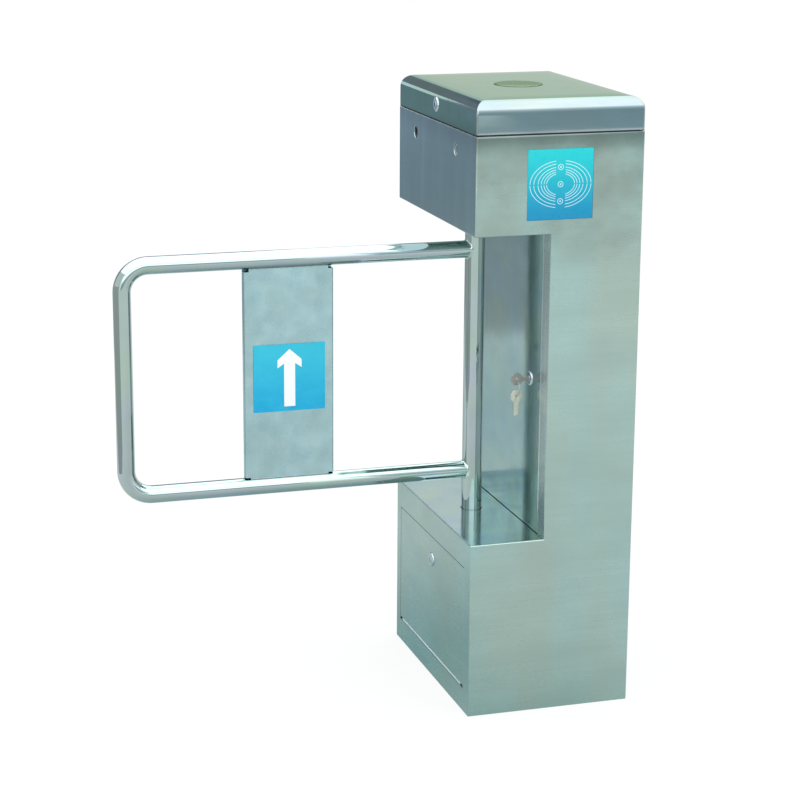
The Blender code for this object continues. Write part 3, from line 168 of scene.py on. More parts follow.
# Locks
LOCK_RIM = 0.0034
LOCK_BARREL_SHARE = 0.75
LOCK_PLUG_RADIUS = 0.0060
LOCK_NECK_RADIUS = 0.0040
LOCK_SCREW_RADIUS = 0.0055
LOCK_SLOT_WIDTH = 0.0026
LOCK_SLOT_HEIGHT = 0.0086
LOCK_SLOT_DEPTH = 0.0095
LOCK_SHUTTER_DEPTH = 0.0022
LOCK_FACE_DISH = 0.0004

# Key ring, a wire wound round more than once
KEY_RING_TURNS = 2
KEY_WIRE_SHARE = 0.9
WIRE_SIDES = 12

# Gate
TUBE_RADIUS = 0.0145
TUBE_WALL = 0.0015
BEND_LINE_RADIUS = 0.042
TUBE_BEND_STEPS = 22
TUBE_SIDES = 48
WELD_LEG = 0.0036
WELD_WIDTH = 0.0028
WELD_STEPS = 5
WELD_ROOT = 0.0005
TOE_LIMIT_SHARE = 0.995
BEAD_RADIUS = 0.0009
BEAD_PITCH = 0.0012
BEAD_MARGIN_SHARE = 0.07
DROP_SHARES = (0.85, 1.15)
DROP_SEED = 7
DROP_SPLITS = 2

# Screws and rivets
SCREW_RADIUS = 0.0032
RIVET_RADIUS = 0.0028
CASE_SCREW_RADIUS = 0.0022
LEAF = 0.0012
FLANGE = 0.004

# A head of unit radius: its height and sink, and shares of its radius and height
HEAD_HEIGHT = 0.40
HEAD_SINK = 0.1
DOME_SHARES = ((1.0, 0.0), (1.0, 0.35), (0.92, 0.65), (0.72, 0.88))
SOCKET_SHARES = ((0.50, 1.0), (0.44, 1.0), (0.40, 0.3), (0.0, 0.2))
CROWN_SHARES = ((0.40, 0.98), (0.0, 1.0))

# Shares of a face's length or width at which its screws or rivets stand
ROW = (0.06, 0.28, 0.5, 0.72, 0.94)
BELOW_PIN = (0.4,)
ABOVE_PIN = (0.6,)
MIDDLE = (0.5,)
ENDS = (0.12, 0.88)
EDGES = (0.05, 0.95)
CAP_ENDS = (0.14, 0.86)
CORNERS = (0.07, 0.93)

# Painted shade under the lid's edge, and blotches of soil on the head, which thin out below it
LID_SHADE_DEPTH = 0.042
SOIL_SIZES = (0.055, 0.055, 0.045)
SOIL_FADE = 0.07

# Patterns in the finishes
SCORE_STRENGTH = 0.1
SCORE_DEPTH = 0.00001
BLOOM_SIZE = 0.03
BLOOM_SHARE = 0.6
PIT_STRENGTH = 0.6
RUBBED_SIZE = 0.012
RUBBED_CHANGE = 0.07
MOTTLE_SIZES = (0.02, 0.02, 0.012)
FILM_RUBBED_SIZE = 0.015
FILM_GLOSSIER = 0.05
FILM_DULLER = 0.06
FILM_SWELL = 0.03
FILM_SWELL_DEPTH = 0.00003
FILM_SWELL_STRENGTH = 0.5

# Sockets of the mix node for colours, and of the random value node for numbers
SHARE, FIRST, SECOND, MIXED = 0, 6, 7, 2
LEAST, MOST, DRAWN = 2, 3, 1

# Axes
X, Y, Z = 0, 1, 2

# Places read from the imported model
front_low, front_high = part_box("front_panel")
pane_low, pane_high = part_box("reader_window")
left = front_low.x
right = front_high.x
front = front_low.y
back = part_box("rear_panel")[1].y
sheet = front_high.y - front_low.y
seam = front_high.z
notch_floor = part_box("notch_floor_panel")[1].z
head_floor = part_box("head_floor_panel")[0].z
wall_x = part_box("notch_cover")[0].x
post_low, post_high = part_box("post")
post_x = (post_low.x + post_high.x) / 2
post_radius = (post_high.x - post_low.x) / 2

record = frame["record"]
body_of = {name: body for body, names in record["behaviour"]["bodies"].items() for name in names}


# Finishes


def linear(hex_colour):
    """The linear colour that shaders take, from an sRGB hex value."""
    shares = [int(hex_colour[k:k + 2], 16) / 255 for k in (1, 3, 5)]
    return [c / 12.92 if c <= 0.04045 else ((c + 0.055) / 1.055) ** 2.4 for c in shares] + [1]


def connect(tree, made, inputs):
    """Sets or links the inputs of a node."""
    for name, value in inputs.items():
        if isinstance(value, bpy.types.NodeSocket):
            tree.links.new(value, made.inputs[name])
        else:
            made.inputs[name].default_value = value


def node(tree, kind, inputs=None, out=0, **settings):
    """Adds a node with its settings, sets or links its inputs, and gives one of its outputs."""
    made = tree.nodes.new(kind)
    for name, value in settings.items():
        setattr(made, name, value)
    connect(tree, made, inputs or {})
    return made.outputs[out] if made.outputs else None


def new_finish(name):
    """A material, its node tree, its shader and the place on the object that its patterns read."""
    material = bpy.data.materials.new(name)
    material.use_nodes = True
    tree = material.node_tree
    return material, tree, tree.nodes["Principled BSDF"], node(tree, "ShaderNodeTexCoord", out="Object")


def pattern(tree, place, spacing, low=0.0, high=1.0, detail=2.0, contrast=0.22):
    """A cloudy pattern between two values. The spacing is the size of its clouds, or one for each axis."""
    sizes = spacing if isinstance(spacing, tuple) else (spacing, spacing, spacing)
    scaled = node(tree, "ShaderNodeMapping", {"Vector": place, "Scale": [1 / size for size in sizes]})
    cloud = node(tree, "ShaderNodeTexNoise", {"Vector": scaled, "Scale": 1, "Detail": detail})
    limits = {"From Min": 0.5 - contrast, "From Max": 0.5 + contrast, "To Min": low, "To Max": high}
    return node(tree, "ShaderNodeMapRange", {"Value": cloud, **limits})


def layered(tree, tone, layers):
    """A tone with layers over it, each a (way to blend, share, tone)."""
    for way, share, layer in layers:
        inputs = {SHARE: share, FIRST: tone, SECOND: layer}
        tone = node(tree, "ShaderNodeMix", inputs, MIXED, data_type="RGBA", blend_type=way)
    return tone


def metal(name, tones, roughness, clouds, smears, grain, smear_share=0.5, uneven=0.06,
          wave=0.0002, score=0.02, skim="#FFFFFF", lid_shade=None, soil=None):
    """A metal whose tone drifts in clouds, with smears and a fine grain that also stir its gloss.

    The tones are the warm and cool ends of the clouds, and the smears' colour. Clouds, smears and
    grain are spacings. The score is how much the grain darkens the metal, and the skim is its
    colour at a grazing look. The painted shade under the lid's edge is (start, end, share) in
    height, and darkens the metal towards that edge. The soil is (start, end, colour, share):
    blotches that grow with height.
    """
    material, tree, shader, place = new_finish(name)
    warm, cool, smear = (linear(tone) for tone in tones)
    drift = pattern(tree, place, clouds)
    smearing = pattern(tree, place, smears, 0, smear_share, detail=3)
    lines = pattern(tree, place, grain, detail=0)
    shade = node(tree, "ShaderNodeMapRange", {"Value": lines, "To Min": 1 - score, "To Max": 1})
    layers = [("MIX", drift, cool), ("MIX", smearing, smear), ("MULTIPLY", 1, shade)]
    height = node(tree, "ShaderNodeSeparateXYZ", {0: place}, "Z")
    if soil:
        start, end, colour, share = soil
        blotches = pattern(tree, place, SOIL_SIZES, 0, share, detail=3)
        limits = {"Value": height, "From Min": start, "From Max": end, "To Min": 0, "To Max": blotches}
        soiled = node(tree, "ShaderNodeMapRange", limits, interpolation_type="SMOOTHSTEP")
        layers.append(("MIX", soiled, linear(colour)))
    # Painted shade under the lid's edge: the metal darkens up to it.
    if lid_shade:
        start, end, share = lid_shade
        limits = {"Value": height, "From Min": start, "From Max": end, "To Min": 1, "To Max": share}
        lid_shaded = node(tree, "ShaderNodeMapRange", limits, interpolation_type="SMOOTHSTEP")
        layers.append(("MULTIPLY", 1, lid_shaded))
    gloss = {"Value": smearing, "To Min": roughness - uneven / 2, "To Max": roughness + uneven}
    stirred = node(tree, "ShaderNodeMapRange", gloss)
    spread = {0: stirred, 1: pattern(tree, place, grain, -uneven / 8, uneven / 8, detail=0)}
    swell = node(tree, "ShaderNodeBump", {"Height": drift, "Strength": 1, "Distance": wave})
    scored = {"Height": lines, "Strength": SCORE_STRENGTH, "Distance": SCORE_DEPTH, "Normal": swell}
    connect(tree, shader, {
        "Base Color": layered(tree, warm, layers),
        "Metallic": 1,
        "Specular Tint": linear(skim),
        "Roughness": node(tree, "ShaderNodeMath", spread, operation="ADD"),
        "Normal": node(tree, "ShaderNodeBump", scored),
    })
    return material


def moulded(name, colour, dusty, roughness, pit=0.0016, depth=0.00006):
    """A moulded plastic or rubber: fine pits, and a dusty bloom in soft patches."""
    material, tree, shader, place = new_finish(name)
    bloom = pattern(tree, place, BLOOM_SIZE, 0, BLOOM_SHARE, detail=4)
    pitted = pattern(tree, place, pit, detail=1)
    pits = {"Height": pitted, "Strength": PIT_STRENGTH, "Distance": depth}
    least = roughness - RUBBED_CHANGE
    connect(tree, shader, {
        "Base Color": layered(tree, linear(colour), [("MIX", bloom, linear(dusty))]),
        "Roughness": pattern(tree, place, RUBBED_SIZE, least, roughness + RUBBED_CHANGE),
        "Normal": node(tree, "ShaderNodeBump", pits),
    })
    return material


def printed(name, top, bottom, high, low, roughness, gloss, mottle="#FFFFFF", mottle_share=0.08):
    """A printed colour that runs from the bottom to the top, slightly mottled, with some gloss."""
    material, tree, shader, place = new_finish(name)
    height = node(tree, "ShaderNodeSeparateXYZ", {0: place}, "Z")
    limits = {"Value": height, "From Min": low, "From Max": high}
    rise = node(tree, "ShaderNodeMapRange", limits, interpolation_type="SMOOTHSTEP")
    patches = pattern(tree, place, MOTTLE_SIZES, 0, mottle_share, detail=4)
    layers = [("MIX", rise, linear(top)), ("MIX", patches, linear(mottle))]
    waves = pattern(tree, place, FILM_SWELL)
    swell = {"Height": waves, "Strength": FILM_SWELL_STRENGTH, "Distance": FILM_SWELL_DEPTH}
    least = roughness - FILM_GLOSSIER
    connect(tree, shader, {
        "Base Color": layered(tree, linear(bottom), layers),
        "Roughness": pattern(tree, place, FILM_RUBBED_SIZE, least, roughness + FILM_DULLER),
        "Specular IOR Level": gloss,
        "Normal": node(tree, "ShaderNodeBump", swell),
    })
    return material


def make_finishes():
    finishes = {}

    # Stainless sheet with a hairline finish: a satin grey-green with faint level lines and smudges.
    # The real lines are 0.1 mm apart. They are drawn 5 mm apart, so that they show.
    # A band of painted shade darkens the sheet up to the lid's edge, and hands have left brown
    # blotches on the head.
    finishes["hairline"] = metal(
        "stainless_hairline_sheet", ("#A9BBB0", "#A3C3C0", "#90A69F"), 0.29,
        clouds=(0.11, 0.14, 0.42), smears=(0.15, 0.11, 0.06), grain=(0.24, 0.24, 0.005),
        smear_share=0.42, lid_shade=(seam - LID_SHADE_DEPTH, seam, 0.50),
        soil=(head_floor - SOIL_FADE, head_floor, "#80887E", 0.52))

    # The same sheet on the head's side, drawn in darker tones as painted shade on that side, and
    # wiped up and down: soft upright bands. The painted shade under the lid's edge is fainter here.
    finishes["hairline_side"] = metal(
        "stainless_wiped_sheet_painted_shade", ("#93A9A9", "#9DB8BA", "#83979B"), 0.22,
        clouds=(0.05, 0.05, 0.50), smears=(0.03, 0.03, 0.20), grain=(0.24, 0.24, 0.005),
        lid_shade=(seam - LID_SHADE_DEPTH, seam, 0.75))

    # The same sheet polished finer for the lid, with lines along its length: olive at a low look.
    finishes["lid"] = metal(
        "stainless_fine_polished_sheet", ("#9BA7A4", "#99AAB3", "#87969D"), 0.08,
        clouds=(0.10, 0.14, 0.06), smears=(0.08, 0.04, 0.02), grain=(0.20, 0.005, 0.005),
        uneven=0.05, wave=0.00008, skim="#C2D8C2")

    # Bright polished sheet in the notch: a soft mirror with a slight swell and finger marks.
    finishes["mirror"] = metal(
        "stainless_bright_polished_sheet", ("#C4CFC0", "#B4CAD4", "#A8B8BC"), 0.14,
        clouds=(0.09, 0.09, 0.12), smears=(0.05, 0.05, 0.035), grain=(0.005, 0.005, 0.16),
        smear_share=0.45, wave=0.0003, skim="#D0DEDC", score=0.01)

    # The flanges round the notch, polished less finely: a blurred mirror.
    finishes["flange"] = metal(
        "stainless_satin_flange", ("#BAC6BE", "#B0C1C4", "#A1AFB1"), 0.27,
        clouds=(0.05, 0.05, 0.14), smears=(0.02, 0.02, 0.05), grain=(0.005, 0.005, 0.16), score=0.01)

    # Drawn and buffed stainless tube: long bright bands, hardly any grain.
    finishes["tube"] = metal(
        "stainless_buffed_tube", ("#A8BFB2", "#ADBAC2", "#9BA8AE"), 0.07,
        clouds=(0.07, 0.05, 0.07), smears=(0.04, 0.02, 0.04), grain=(0.03, 0.0015, 0.03),
        smear_share=0.3, uneven=0.05, wave=0.00005, score=0.01)

    # Satin plate behind the sign, rubbed by hand: cyan-grey with cloudy blotches.
    finishes["plate"] = metal(
        "stainless_satin_plate", ("#A3BFC0", "#ABCDD2", "#8CAEB2"), 0.26,
        clouds=(0.045, 0.045, 0.05), smears=0.03, grain=(0.005, 0.005, 0.12),
        smear_share=0.75, uneven=0.08, score=0.008)

    # Weld left as it froze and then brushed: dull silver, straw and blue at its ripples.
    finishes["weld"] = metal(
        "stainless_brushed_weld", ("#B8B6A2", "#9FB3BD", "#7F8C90"), 0.32,
        clouds=0.006, smears=0.003, grain=0.002)

    # Zinc plated steel: pale blue-grey with a yellow cast in patches.
    finishes["zinc"] = metal(
        "zinc_plated_steel", ("#B9BAB0", "#AEB8BE", "#8E9497"), 0.36,
        clouds=0.02, smears=0.008, grain=(0.002, 0.002, 0.02))

    # Steel housing of the gearbox, bead blasted before its zinc: even pale grey, a fine sandy skin.
    finishes["cast"] = metal(
        "zinc_plated_blasted_steel", ("#B5B7B5", "#A9ADAF", "#8C9090"), 0.52,
        clouds=0.03, smears=0.004, grain=0.0012)

    # Chromium plate on die-cast zinc: a mirror dulled a little by wipe marks.
    finishes["chrome"] = metal(
        "chromium_plated_zinc", ("#C4D0D6", "#B6C6CE", "#A4B4BC"), 0.10,
        clouds=0.01, smears=0.004, grain=0.002,
        smear_share=0.3, uneven=0.04, wave=0.00003)

    # Hinge of tumbled, zinc plated steel: dull, and drawn near white as a painted highlight, so that
    # it shows as a light line below the door.
    finishes["hinge"] = metal(
        "zinc_plated_steel_painted_highlight", ("#EEF4F2", "#E4EEF0", "#D4DEE0"), 0.50,
        clouds=(0.01, 0.03, 0.01), smears=(0.004, 0.01, 0.004), grain=(0.002, 0.01, 0.002),
        smear_share=0.3)

    # Stamped keys in nickel-washed brass: the spare pale cream, and the one in the lock a darker
    # taupe copy, a painted shade for the dark surroundings that it reflects.
    finishes["new_key"] = metal(
        "nickel_washed_brass", ("#DEDECA", "#D0D8CC", "#BEBEAA"), 0.34,
        clouds=0.006, smears=0.003, grain=(0.001, 0.001, 0.006))
    finishes["shaded_key"] = metal(
        "nickel_washed_brass_painted_shade", ("#A2A19A", "#A9A9A4", "#8A887E"), 0.38,
        clouds=0.006, smears=0.003, grain=(0.001, 0.001, 0.006))

    # Baked enamel over the motor's steel can: almost black, slightly orange-peeled.
    finishes["enamel"] = moulded("baked_black_enamel", "#23272B", "#3A4147", 0.34, pit=0.0030)

    # Injection moulded ABS, black and light grey, with a spark-eroded texture and some dust.
    finishes["black"] = moulded("moulded_abs_black", "#17181A", "#2C2E30", 0.48)
    finishes["grey"] = moulded("moulded_abs_light_grey", "#A9AEAF", "#8F9596", 0.46)

    # Plastic disc on the lid's top under a metallic lacquer: grey-green, dull at a low look. It is
    # drawn as a metal, because the lacquer mirrors the room in its own colour.
    finishes["disc"] = metal(
        "metallic_lacquered_plastic", ("#8E9C86", "#86968A", "#78887A"), 0.30,
        clouds=0.03, smears=0.012, grain=0.0016, skim="#A6BA9E")

    # Smoked polycarbonate lens of a photo sensor: black and glossy.
    finishes["lens"] = moulded("smoked_polycarbonate", "#0C0E12", "#1C2026", 0.14, depth=0.00001)
    finishes["pale_lens"] = moulded(
        "dusty_smoked_polycarbonate", "#7E8C98", "#A2AEB8", 0.30, depth=0.00001)

    # Nitrile rubber cord and caps: dull black that greys where it is rubbed.
    finishes["rubber"] = moulded("nitrile_rubber", "#0F1628", "#222C40", 0.78)

    # Acrylic pane printed on its back: turquoise at the top, deeper blue at the bottom, glossy skin.
    finishes["pane"] = printed(
        "back_printed_acrylic", "#18D2D8", "#0690C0", pane_high.z, pane_low.z, 0.30, 0.20,
        mottle_share=0.01)

    # Pale cyan ink of the arcs and marks on the pane.
    finishes["ink"] = printed(
        "pale_cyan_screen_ink", "#C6FAFA", "#BCECF6", pane_high.z, pane_low.z, 0.45, 0.10,
        mottle="#D8FCFC", mottle_share=0.3)

    # Blue vinyl film on the sign and white film on top of it, each a little uneven.
    sign_low, sign_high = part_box("arrow_sign")
    finishes["blue_film"] = printed(
        "blue_vinyl_film", "#34C2DE", "#14A8DA", sign_high.z, sign_low.z, 0.40, 0.15,
        mottle="#40CCE4", mottle_share=0.3)
    finishes["white_film"] = printed(
        "white_vinyl_film", "#FCFFFF", "#F6FCFD", sign_high.z, sign_low.z, 0.40, 0.15,
        mottle="#EAF4F6", mottle_share=0.2)
    return finishes


# Mesh helpers


def mesh_of(name, bm):
    """The mesh of a finished bmesh, which is freed."""
    mesh = bpy.data.meshes.new(name)
    bm.to_mesh(mesh)
    bm.free()
    return mesh


def placed(name, data):
    """A new object at the origin of the scene."""
    thing = bpy.data.objects.new(name, data)
    bpy.context.collection.objects.link(thing)
    return thing


def extent(name):
    """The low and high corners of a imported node's box, and its middle."""
    low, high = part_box(name)
    return low, high, (low + high) / 2


def turns(sides):
    """The angles of a full turn in equal steps."""
    return [2 * math.pi * k / sides for k in range(sides)]


def quarter(steps):
    """The angles of a quarter turn in equal steps, with both its ends."""
    return [math.pi / 2 * k / steps for k in range(steps + 1)]


def in_space(axis, u, v, along):
    """The point at (u, v) across an axis, in the order X, Y, Z, and at a distance along it."""
    return {"X": (along, u, v), "Y": (u, along, v), "Z": (u, v, along)}[axis]


def rectangle(low, high):
    return [(low[0], low[1]), (high[0], low[1]), (high[0], high[1]), (low[0], high[1])]


def rounded(points, radius, steps=ARC_STEPS, closed=True):
    """The outline with each corner an arc of the radius, or of what its sides have room for."""
    made = []
    count = len(points)
    for k, corner in enumerate(points):
        if not closed and k in (0, count - 1):
            made.append(tuple(corner))
            continue
        here = Vector(corner)
        before = Vector(points[k - 1]) - here
        after = Vector(points[(k + 1) % count]) - here
        half = before.angle(after) / 2
        reach = min(radius / math.tan(half), before.length / SIDE_ROOM, after.length / SIDE_ROOM)
        bow = reach * math.tan(half)
        middle = here + (before.normalized() + after.normalized()).normalized() * bow / math.sin(half)
        first = (here + before.normalized() * reach - middle).normalized()
        last = (here + after.normalized() * reach - middle).normalized()
        across = (last - first * first.dot(last)).normalized()
        sweep = math.pi - 2 * half
        for step in range(steps + 1):
            turn = sweep * step / steps
            made.append(tuple(middle + (first * math.cos(turn) + across * math.sin(turn)) * bow))
    return made


def plate(axis, start, end, outline, holes=()):
    """An outline with holes, given thickness along an axis."""
    bm = bmesh.new()
    for loop in (outline, *holes):
        corners = [bm.verts.new(in_space(axis, u, v, start)) for u, v in loop]
        for a, b in zip(corners, corners[1:] + corners[:1]):
            bm.edges.new((a, b))
    bmesh.ops.triangle_fill(bm, use_beauty=True, use_dissolve=False, edges=bm.edges[:])
    region = bmesh.ops.extrude_face_region(bm, geom=bm.faces[:])
    moved = [v for v in region["geom"] if isinstance(v, bmesh.types.BMVert)]
    bmesh.ops.translate(bm, verts=moved, vec=in_space(axis, 0, 0, end - start))
    bmesh.ops.recalc_face_normals(bm, faces=bm.faces[:])
    bmesh.ops.dissolve_limit(bm, angle_limit=FLAT_ANGLE, verts=bm.verts[:], edges=bm.edges[:])
    return bm


def box(low, high):
    return plate("Z", low[2], high[2], rectangle(low[:2], high[:2]))


def turned(profile, centre, axis="Z", sides=FINE_SIDES):
    """A turned piece. The profile is (radius, distance along): from pole to pole, or round a ring."""
    bm = bmesh.new()
    rings = []
    for radius, along in profile:
        count = sides if radius > SAME else 1
        spots = circle(radius if count > 1 else 0, sides=count)
        rings.append([bm.verts.new(in_space(axis, u, v, along)) for u, v in spots])
    pairs = list(zip(rings, rings[1:]))
    if len(rings[0]) > 1:
        pairs.append((rings[-1], rings[0]))
    for first, second in pairs:
        for k in range(sides):
            loop = [first[k % len(first)], first[(k + 1) % len(first)]]
            loop += [second[(k + 1) % len(second)], second[k % len(second)]]
            bm.faces.new(list(dict.fromkeys(loop)))
    bmesh.ops.translate(bm, verts=bm.verts[:], vec=centre)
    bmesh.ops.recalc_face_normals(bm, faces=bm.faces[:])
    return bm


def joined_rings(rings, closed=False):
    """A skin over rings of points, one after the other; closed joins the last ring to the first."""
    bm = bmesh.new()
    corners = [[bm.verts.new(p) for p in ring] for ring in rings]
    pairs = list(zip(corners, corners[1:]))
    if closed:
        pairs.append((corners[-1], corners[0]))
    for first, second in pairs:
        for k in range(len(first)):
            n = (k + 1) % len(first)
            bm.faces.new((first[k], first[n], second[n], second[k]))
    if not closed:
        bm.faces.new(corners[0])
        bm.faces.new(corners[-1])
    bmesh.ops.recalc_face_normals(bm, faces=bm.faces[:])
    return bm


def copy_of(name):
    """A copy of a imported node's mesh, merged, with its flat faces whole again."""
    bm = bmesh.new()
    bm.from_mesh(frame["nodes"][name].data)
    bmesh.ops.remove_doubles(bm, verts=bm.verts[:], dist=SAME / 2)
    bmesh.ops.dissolve_limit(bm, angle_limit=FLAT_ANGLE, verts=bm.verts[:], edges=bm.edges[:])
    return bm


def circle(radius, centre=(0, 0), sides=FINE_SIDES):
    return [(centre[0] + radius * math.cos(t), centre[1] + radius * math.sin(t)) for t in turns(sides)]


def slide(bm, axis, old, new):
    """Moves the corners that lie at a place along an axis to another place, to close a fit."""
    for v in bm.verts:
        if abs(v.co[axis] - old) < TOUCH / 2:
            v.co[axis] = new


def close_fit(bm, axis, low, high):
    """Closes the fits at both ends of a piece along an axis."""
    slide(bm, axis, low + TOUCH, low)
    slide(bm, axis, high - TOUCH, high)


def bend(bm, *lines, radius=BEND_RADIUS, steps=BEND_STEPS):
    """Rounds the edges that lie on the lines, as a press brake leaves them.

    A line is given by its places along the two axes that it is square to.
    """
    edges = []
    for edge in bm.edges:
        ends = [v.co for v in edge.verts]
        for line in lines:
            if all(abs(end[axis] - place) < TOUCH / 2 for end in ends for axis, place in line.items()):
                edges.append(edge)
    bmesh.ops.bevel(bm, geom=edges, offset=radius, segments=steps, profile=0.5, affect="EDGES")


def lean_lip(bm, axis, face):
    """Leans the top edge of a panel in, below the lid, on its face along an axis."""
    bend(bm, {Z: seam, axis: face}, radius=LIP_LEAN, steps=1)
    slide(bm, Z, seam - LIP_LEAN, seam - LIP_HEIGHT)
    slide(bm, Z, seam, seam - LIP_DROP)


def piece(name, bm, finish, body, edge=PART_EDGE):
    """A piece that rides on a body. Its sharp edges get a small rounding, and its flats stay flat."""
    mesh = mesh_of(name, bm)
    mesh.shade_smooth()
    mesh.materials.append(finish)
    thing = placed(name, mesh)
    if edge:
        rounding = thing.modifiers.new("edges", "BEVEL")
        rounding.width = edge
        rounding.segments = EDGE_STEPS
        rounding.limit_method = "ANGLE"
        rounding.angle_limit = CREASE_ANGLE
    else:
        mesh.set_sharp_from_angle(angle=CREASE_ANGLE)
    shading = thing.modifiers.new("flats", "WEIGHTED_NORMAL")
    shading.weight = FLAT_WEIGHT
    shading.keep_sharp = True
    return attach(thing, body)


def dress(name, bm, finish, edge=PART_EDGE):
    """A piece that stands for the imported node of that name."""
    thing = piece(name + "_finished", bm, finish, body_of[name], edge)
    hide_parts(name)
    return thing


def cut(bm, tool_bm):
    """Takes the tool's shape out of the mesh."""
    target, tool = [placed("cut", mesh_of("cut", source)) for source in (bm, tool_bm)]
    modifier = target.modifiers.new("cut", "BOOLEAN")
    modifier.operation = "DIFFERENCE"
    modifier.solver = "EXACT"
    modifier.object = tool
    evaluated = target.evaluated_get(bpy.context.evaluated_depsgraph_get())
    made = bmesh.new()
    made.from_mesh(evaluated.to_mesh())
    for thing in (target, tool):
        bpy.data.objects.remove(thing)
    return made


# Geometry Nodes


def new_tree(name, sizes):
    """A Geometry Nodes tree with a geometry, named sizes and a finish as inputs."""
    tree = bpy.data.node_groups.new(name, "GeometryNodeTree")
    kinds = [("Geometry", "NodeSocketGeometry")]
    kinds += [(size, "NodeSocketFloat") for size in sizes]
    kinds += [("Pattern", "NodeSocketObject"), ("Finish", "NodeSocketMaterial")]
    for label, kind in kinds:
        tree.interface.new_socket(label, in_out="INPUT", socket_type=kind)
    tree.interface.new_socket("Geometry", in_out="OUTPUT", socket_type="NodeSocketGeometry")
    return tree, tree.nodes.new("NodeGroupInput").outputs


def close_tree(tree, geometry, finish):
    """Ends a tree: the copies become one mesh, smooth, with its finish."""
    whole = node(tree, "GeometryNodeRealizeInstances", {"Geometry": geometry})
    smooth = node(tree, "GeometryNodeSetShadeSmooth", {"Geometry": whole})
    painted = node(tree, "GeometryNodeSetMaterial", {"Geometry": smooth, "Material": finish})
    node(tree, "NodeGroupOutput", {"Geometry": painted})
    return tree


def follow_tree(name, section, sizes, **fixed):
    """A film or wire that follows a line, with a section of some kind and its named sizes."""
    tree, sockets = new_tree(name, sizes)
    profile = node(tree, section, {**fixed, **{size: sockets[size] for size in sizes}})
    inputs = {"Curve": sockets["Geometry"], "Profile Curve": profile, "Fill Caps": True}
    return close_tree(tree, node(tree, "GeometryNodeCurveToMesh", inputs), sockets["Finish"])


def weld_tree():
    """A row of overlapping drops of weld along a line, each a little different in size."""
    tree, sockets = new_tree("weld_ripples", ("Pitch", "Radius"))
    inputs = {"Curve": sockets["Geometry"], "Length": sockets["Pitch"]}
    spots = node(tree, "GeometryNodeCurveToPoints", inputs, mode="LENGTH")
    inputs = {"Radius": sockets["Radius"], "Subdivisions": DROP_SPLITS}
    drop = node(tree, "GeometryNodeMeshIcoSphere", inputs)
    inputs = {LEAST: DROP_SHARES[0], MOST: DROP_SHARES[1], "Seed": DROP_SEED}
    sizes = node(tree, "FunctionNodeRandomValue", inputs, DRAWN, data_type="FLOAT")
    inputs = {"Points": spots, "Instance": drop, "Scale": sizes}
    return close_tree(tree, node(tree, "GeometryNodeInstanceOnPoints", inputs), sockets["Finish"])


def fastener_tree():
    """A head of unit radius on each spot, scaled to size and turned to stand off the surface."""
    tree, sockets = new_tree("fastener_heads", ("Radius",))
    inputs = {"Object": sockets["Pattern"], "As Instance": True}
    head = node(tree, "GeometryNodeObjectInfo", inputs, "Geometry")
    way = node(tree, "GeometryNodeInputNamedAttribute", {"Name": "way"}, data_type="FLOAT_VECTOR")
    aim = node(tree, "FunctionNodeAlignRotationToVector", {"Vector": way}, axis="Z")
    inputs = {"Points": sockets["Geometry"], "Instance": head, "Rotation": aim, "Scale": sockets["Radius"]}
    return close_tree(tree, node(tree, "GeometryNodeInstanceOnPoints", inputs), sockets["Finish"])


def grown(name, source, tree, body, **values):
    """Runs a tree on a source object, and makes its result a plain mesh that rides on a body."""
    modifier = source.modifiers.new("grow", "NODES")
    modifier.node_group = tree
    sockets = {item.name: item.identifier for item in tree.interface.items_tree if item.in_out == "INPUT"}
    for label, value in values.items():
        modifier[sockets[label]] = value
    graph = bpy.context.evaluated_depsgraph_get()
    mesh = bpy.data.meshes.new_from_object(source.evaluated_get(graph), depsgraph=graph)
    mesh.name = name
    bpy.data.objects.remove(source)
    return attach(placed(name, mesh), body)


def line_source(paths, closed=False):
    """A curve object of straight-sided lines through the paths' points."""
    curve = bpy.data.curves.new("line", "CURVE")
    curve.dimensions = "3D"
    for path in paths:
        spline = curve.splines.new("POLY")
        spline.points.add(len(path) - 1)
        for point, place in zip(spline.points, path):
            point.co = (*place, 1)
        spline.use_cyclic_u = closed
    return placed("line", curve)


def spot_source(spots):
    """An object of loose points, each with the way that its fastener stands."""
    mesh = bpy.data.meshes.new("spots")
    mesh.from_pydata([place for place, way in spots], [], [])
    ways = mesh.attributes.new("way", "FLOAT_VECTOR", "POINT")
    for item, (place, way) in zip(ways.data, spots):
        item.vector = way
    return placed("spots", mesh)


def head_pattern(socket):
    """A fastener's head of unit radius: a low dome, with a driver's socket if it is a screw."""
    shares = DOME_SHARES + (SOCKET_SHARES if socket else CROWN_SHARES)
    dome = [(radius, HEAD_HEIGHT * rise) for radius, rise in shares]
    bm = turned([(0, -HEAD_SINK), (1, -HEAD_SINK), *dome], (0, 0, 0), "Z", SMALL_SIDES)
    return placed("head", mesh_of("head", bm))


# Cabinet


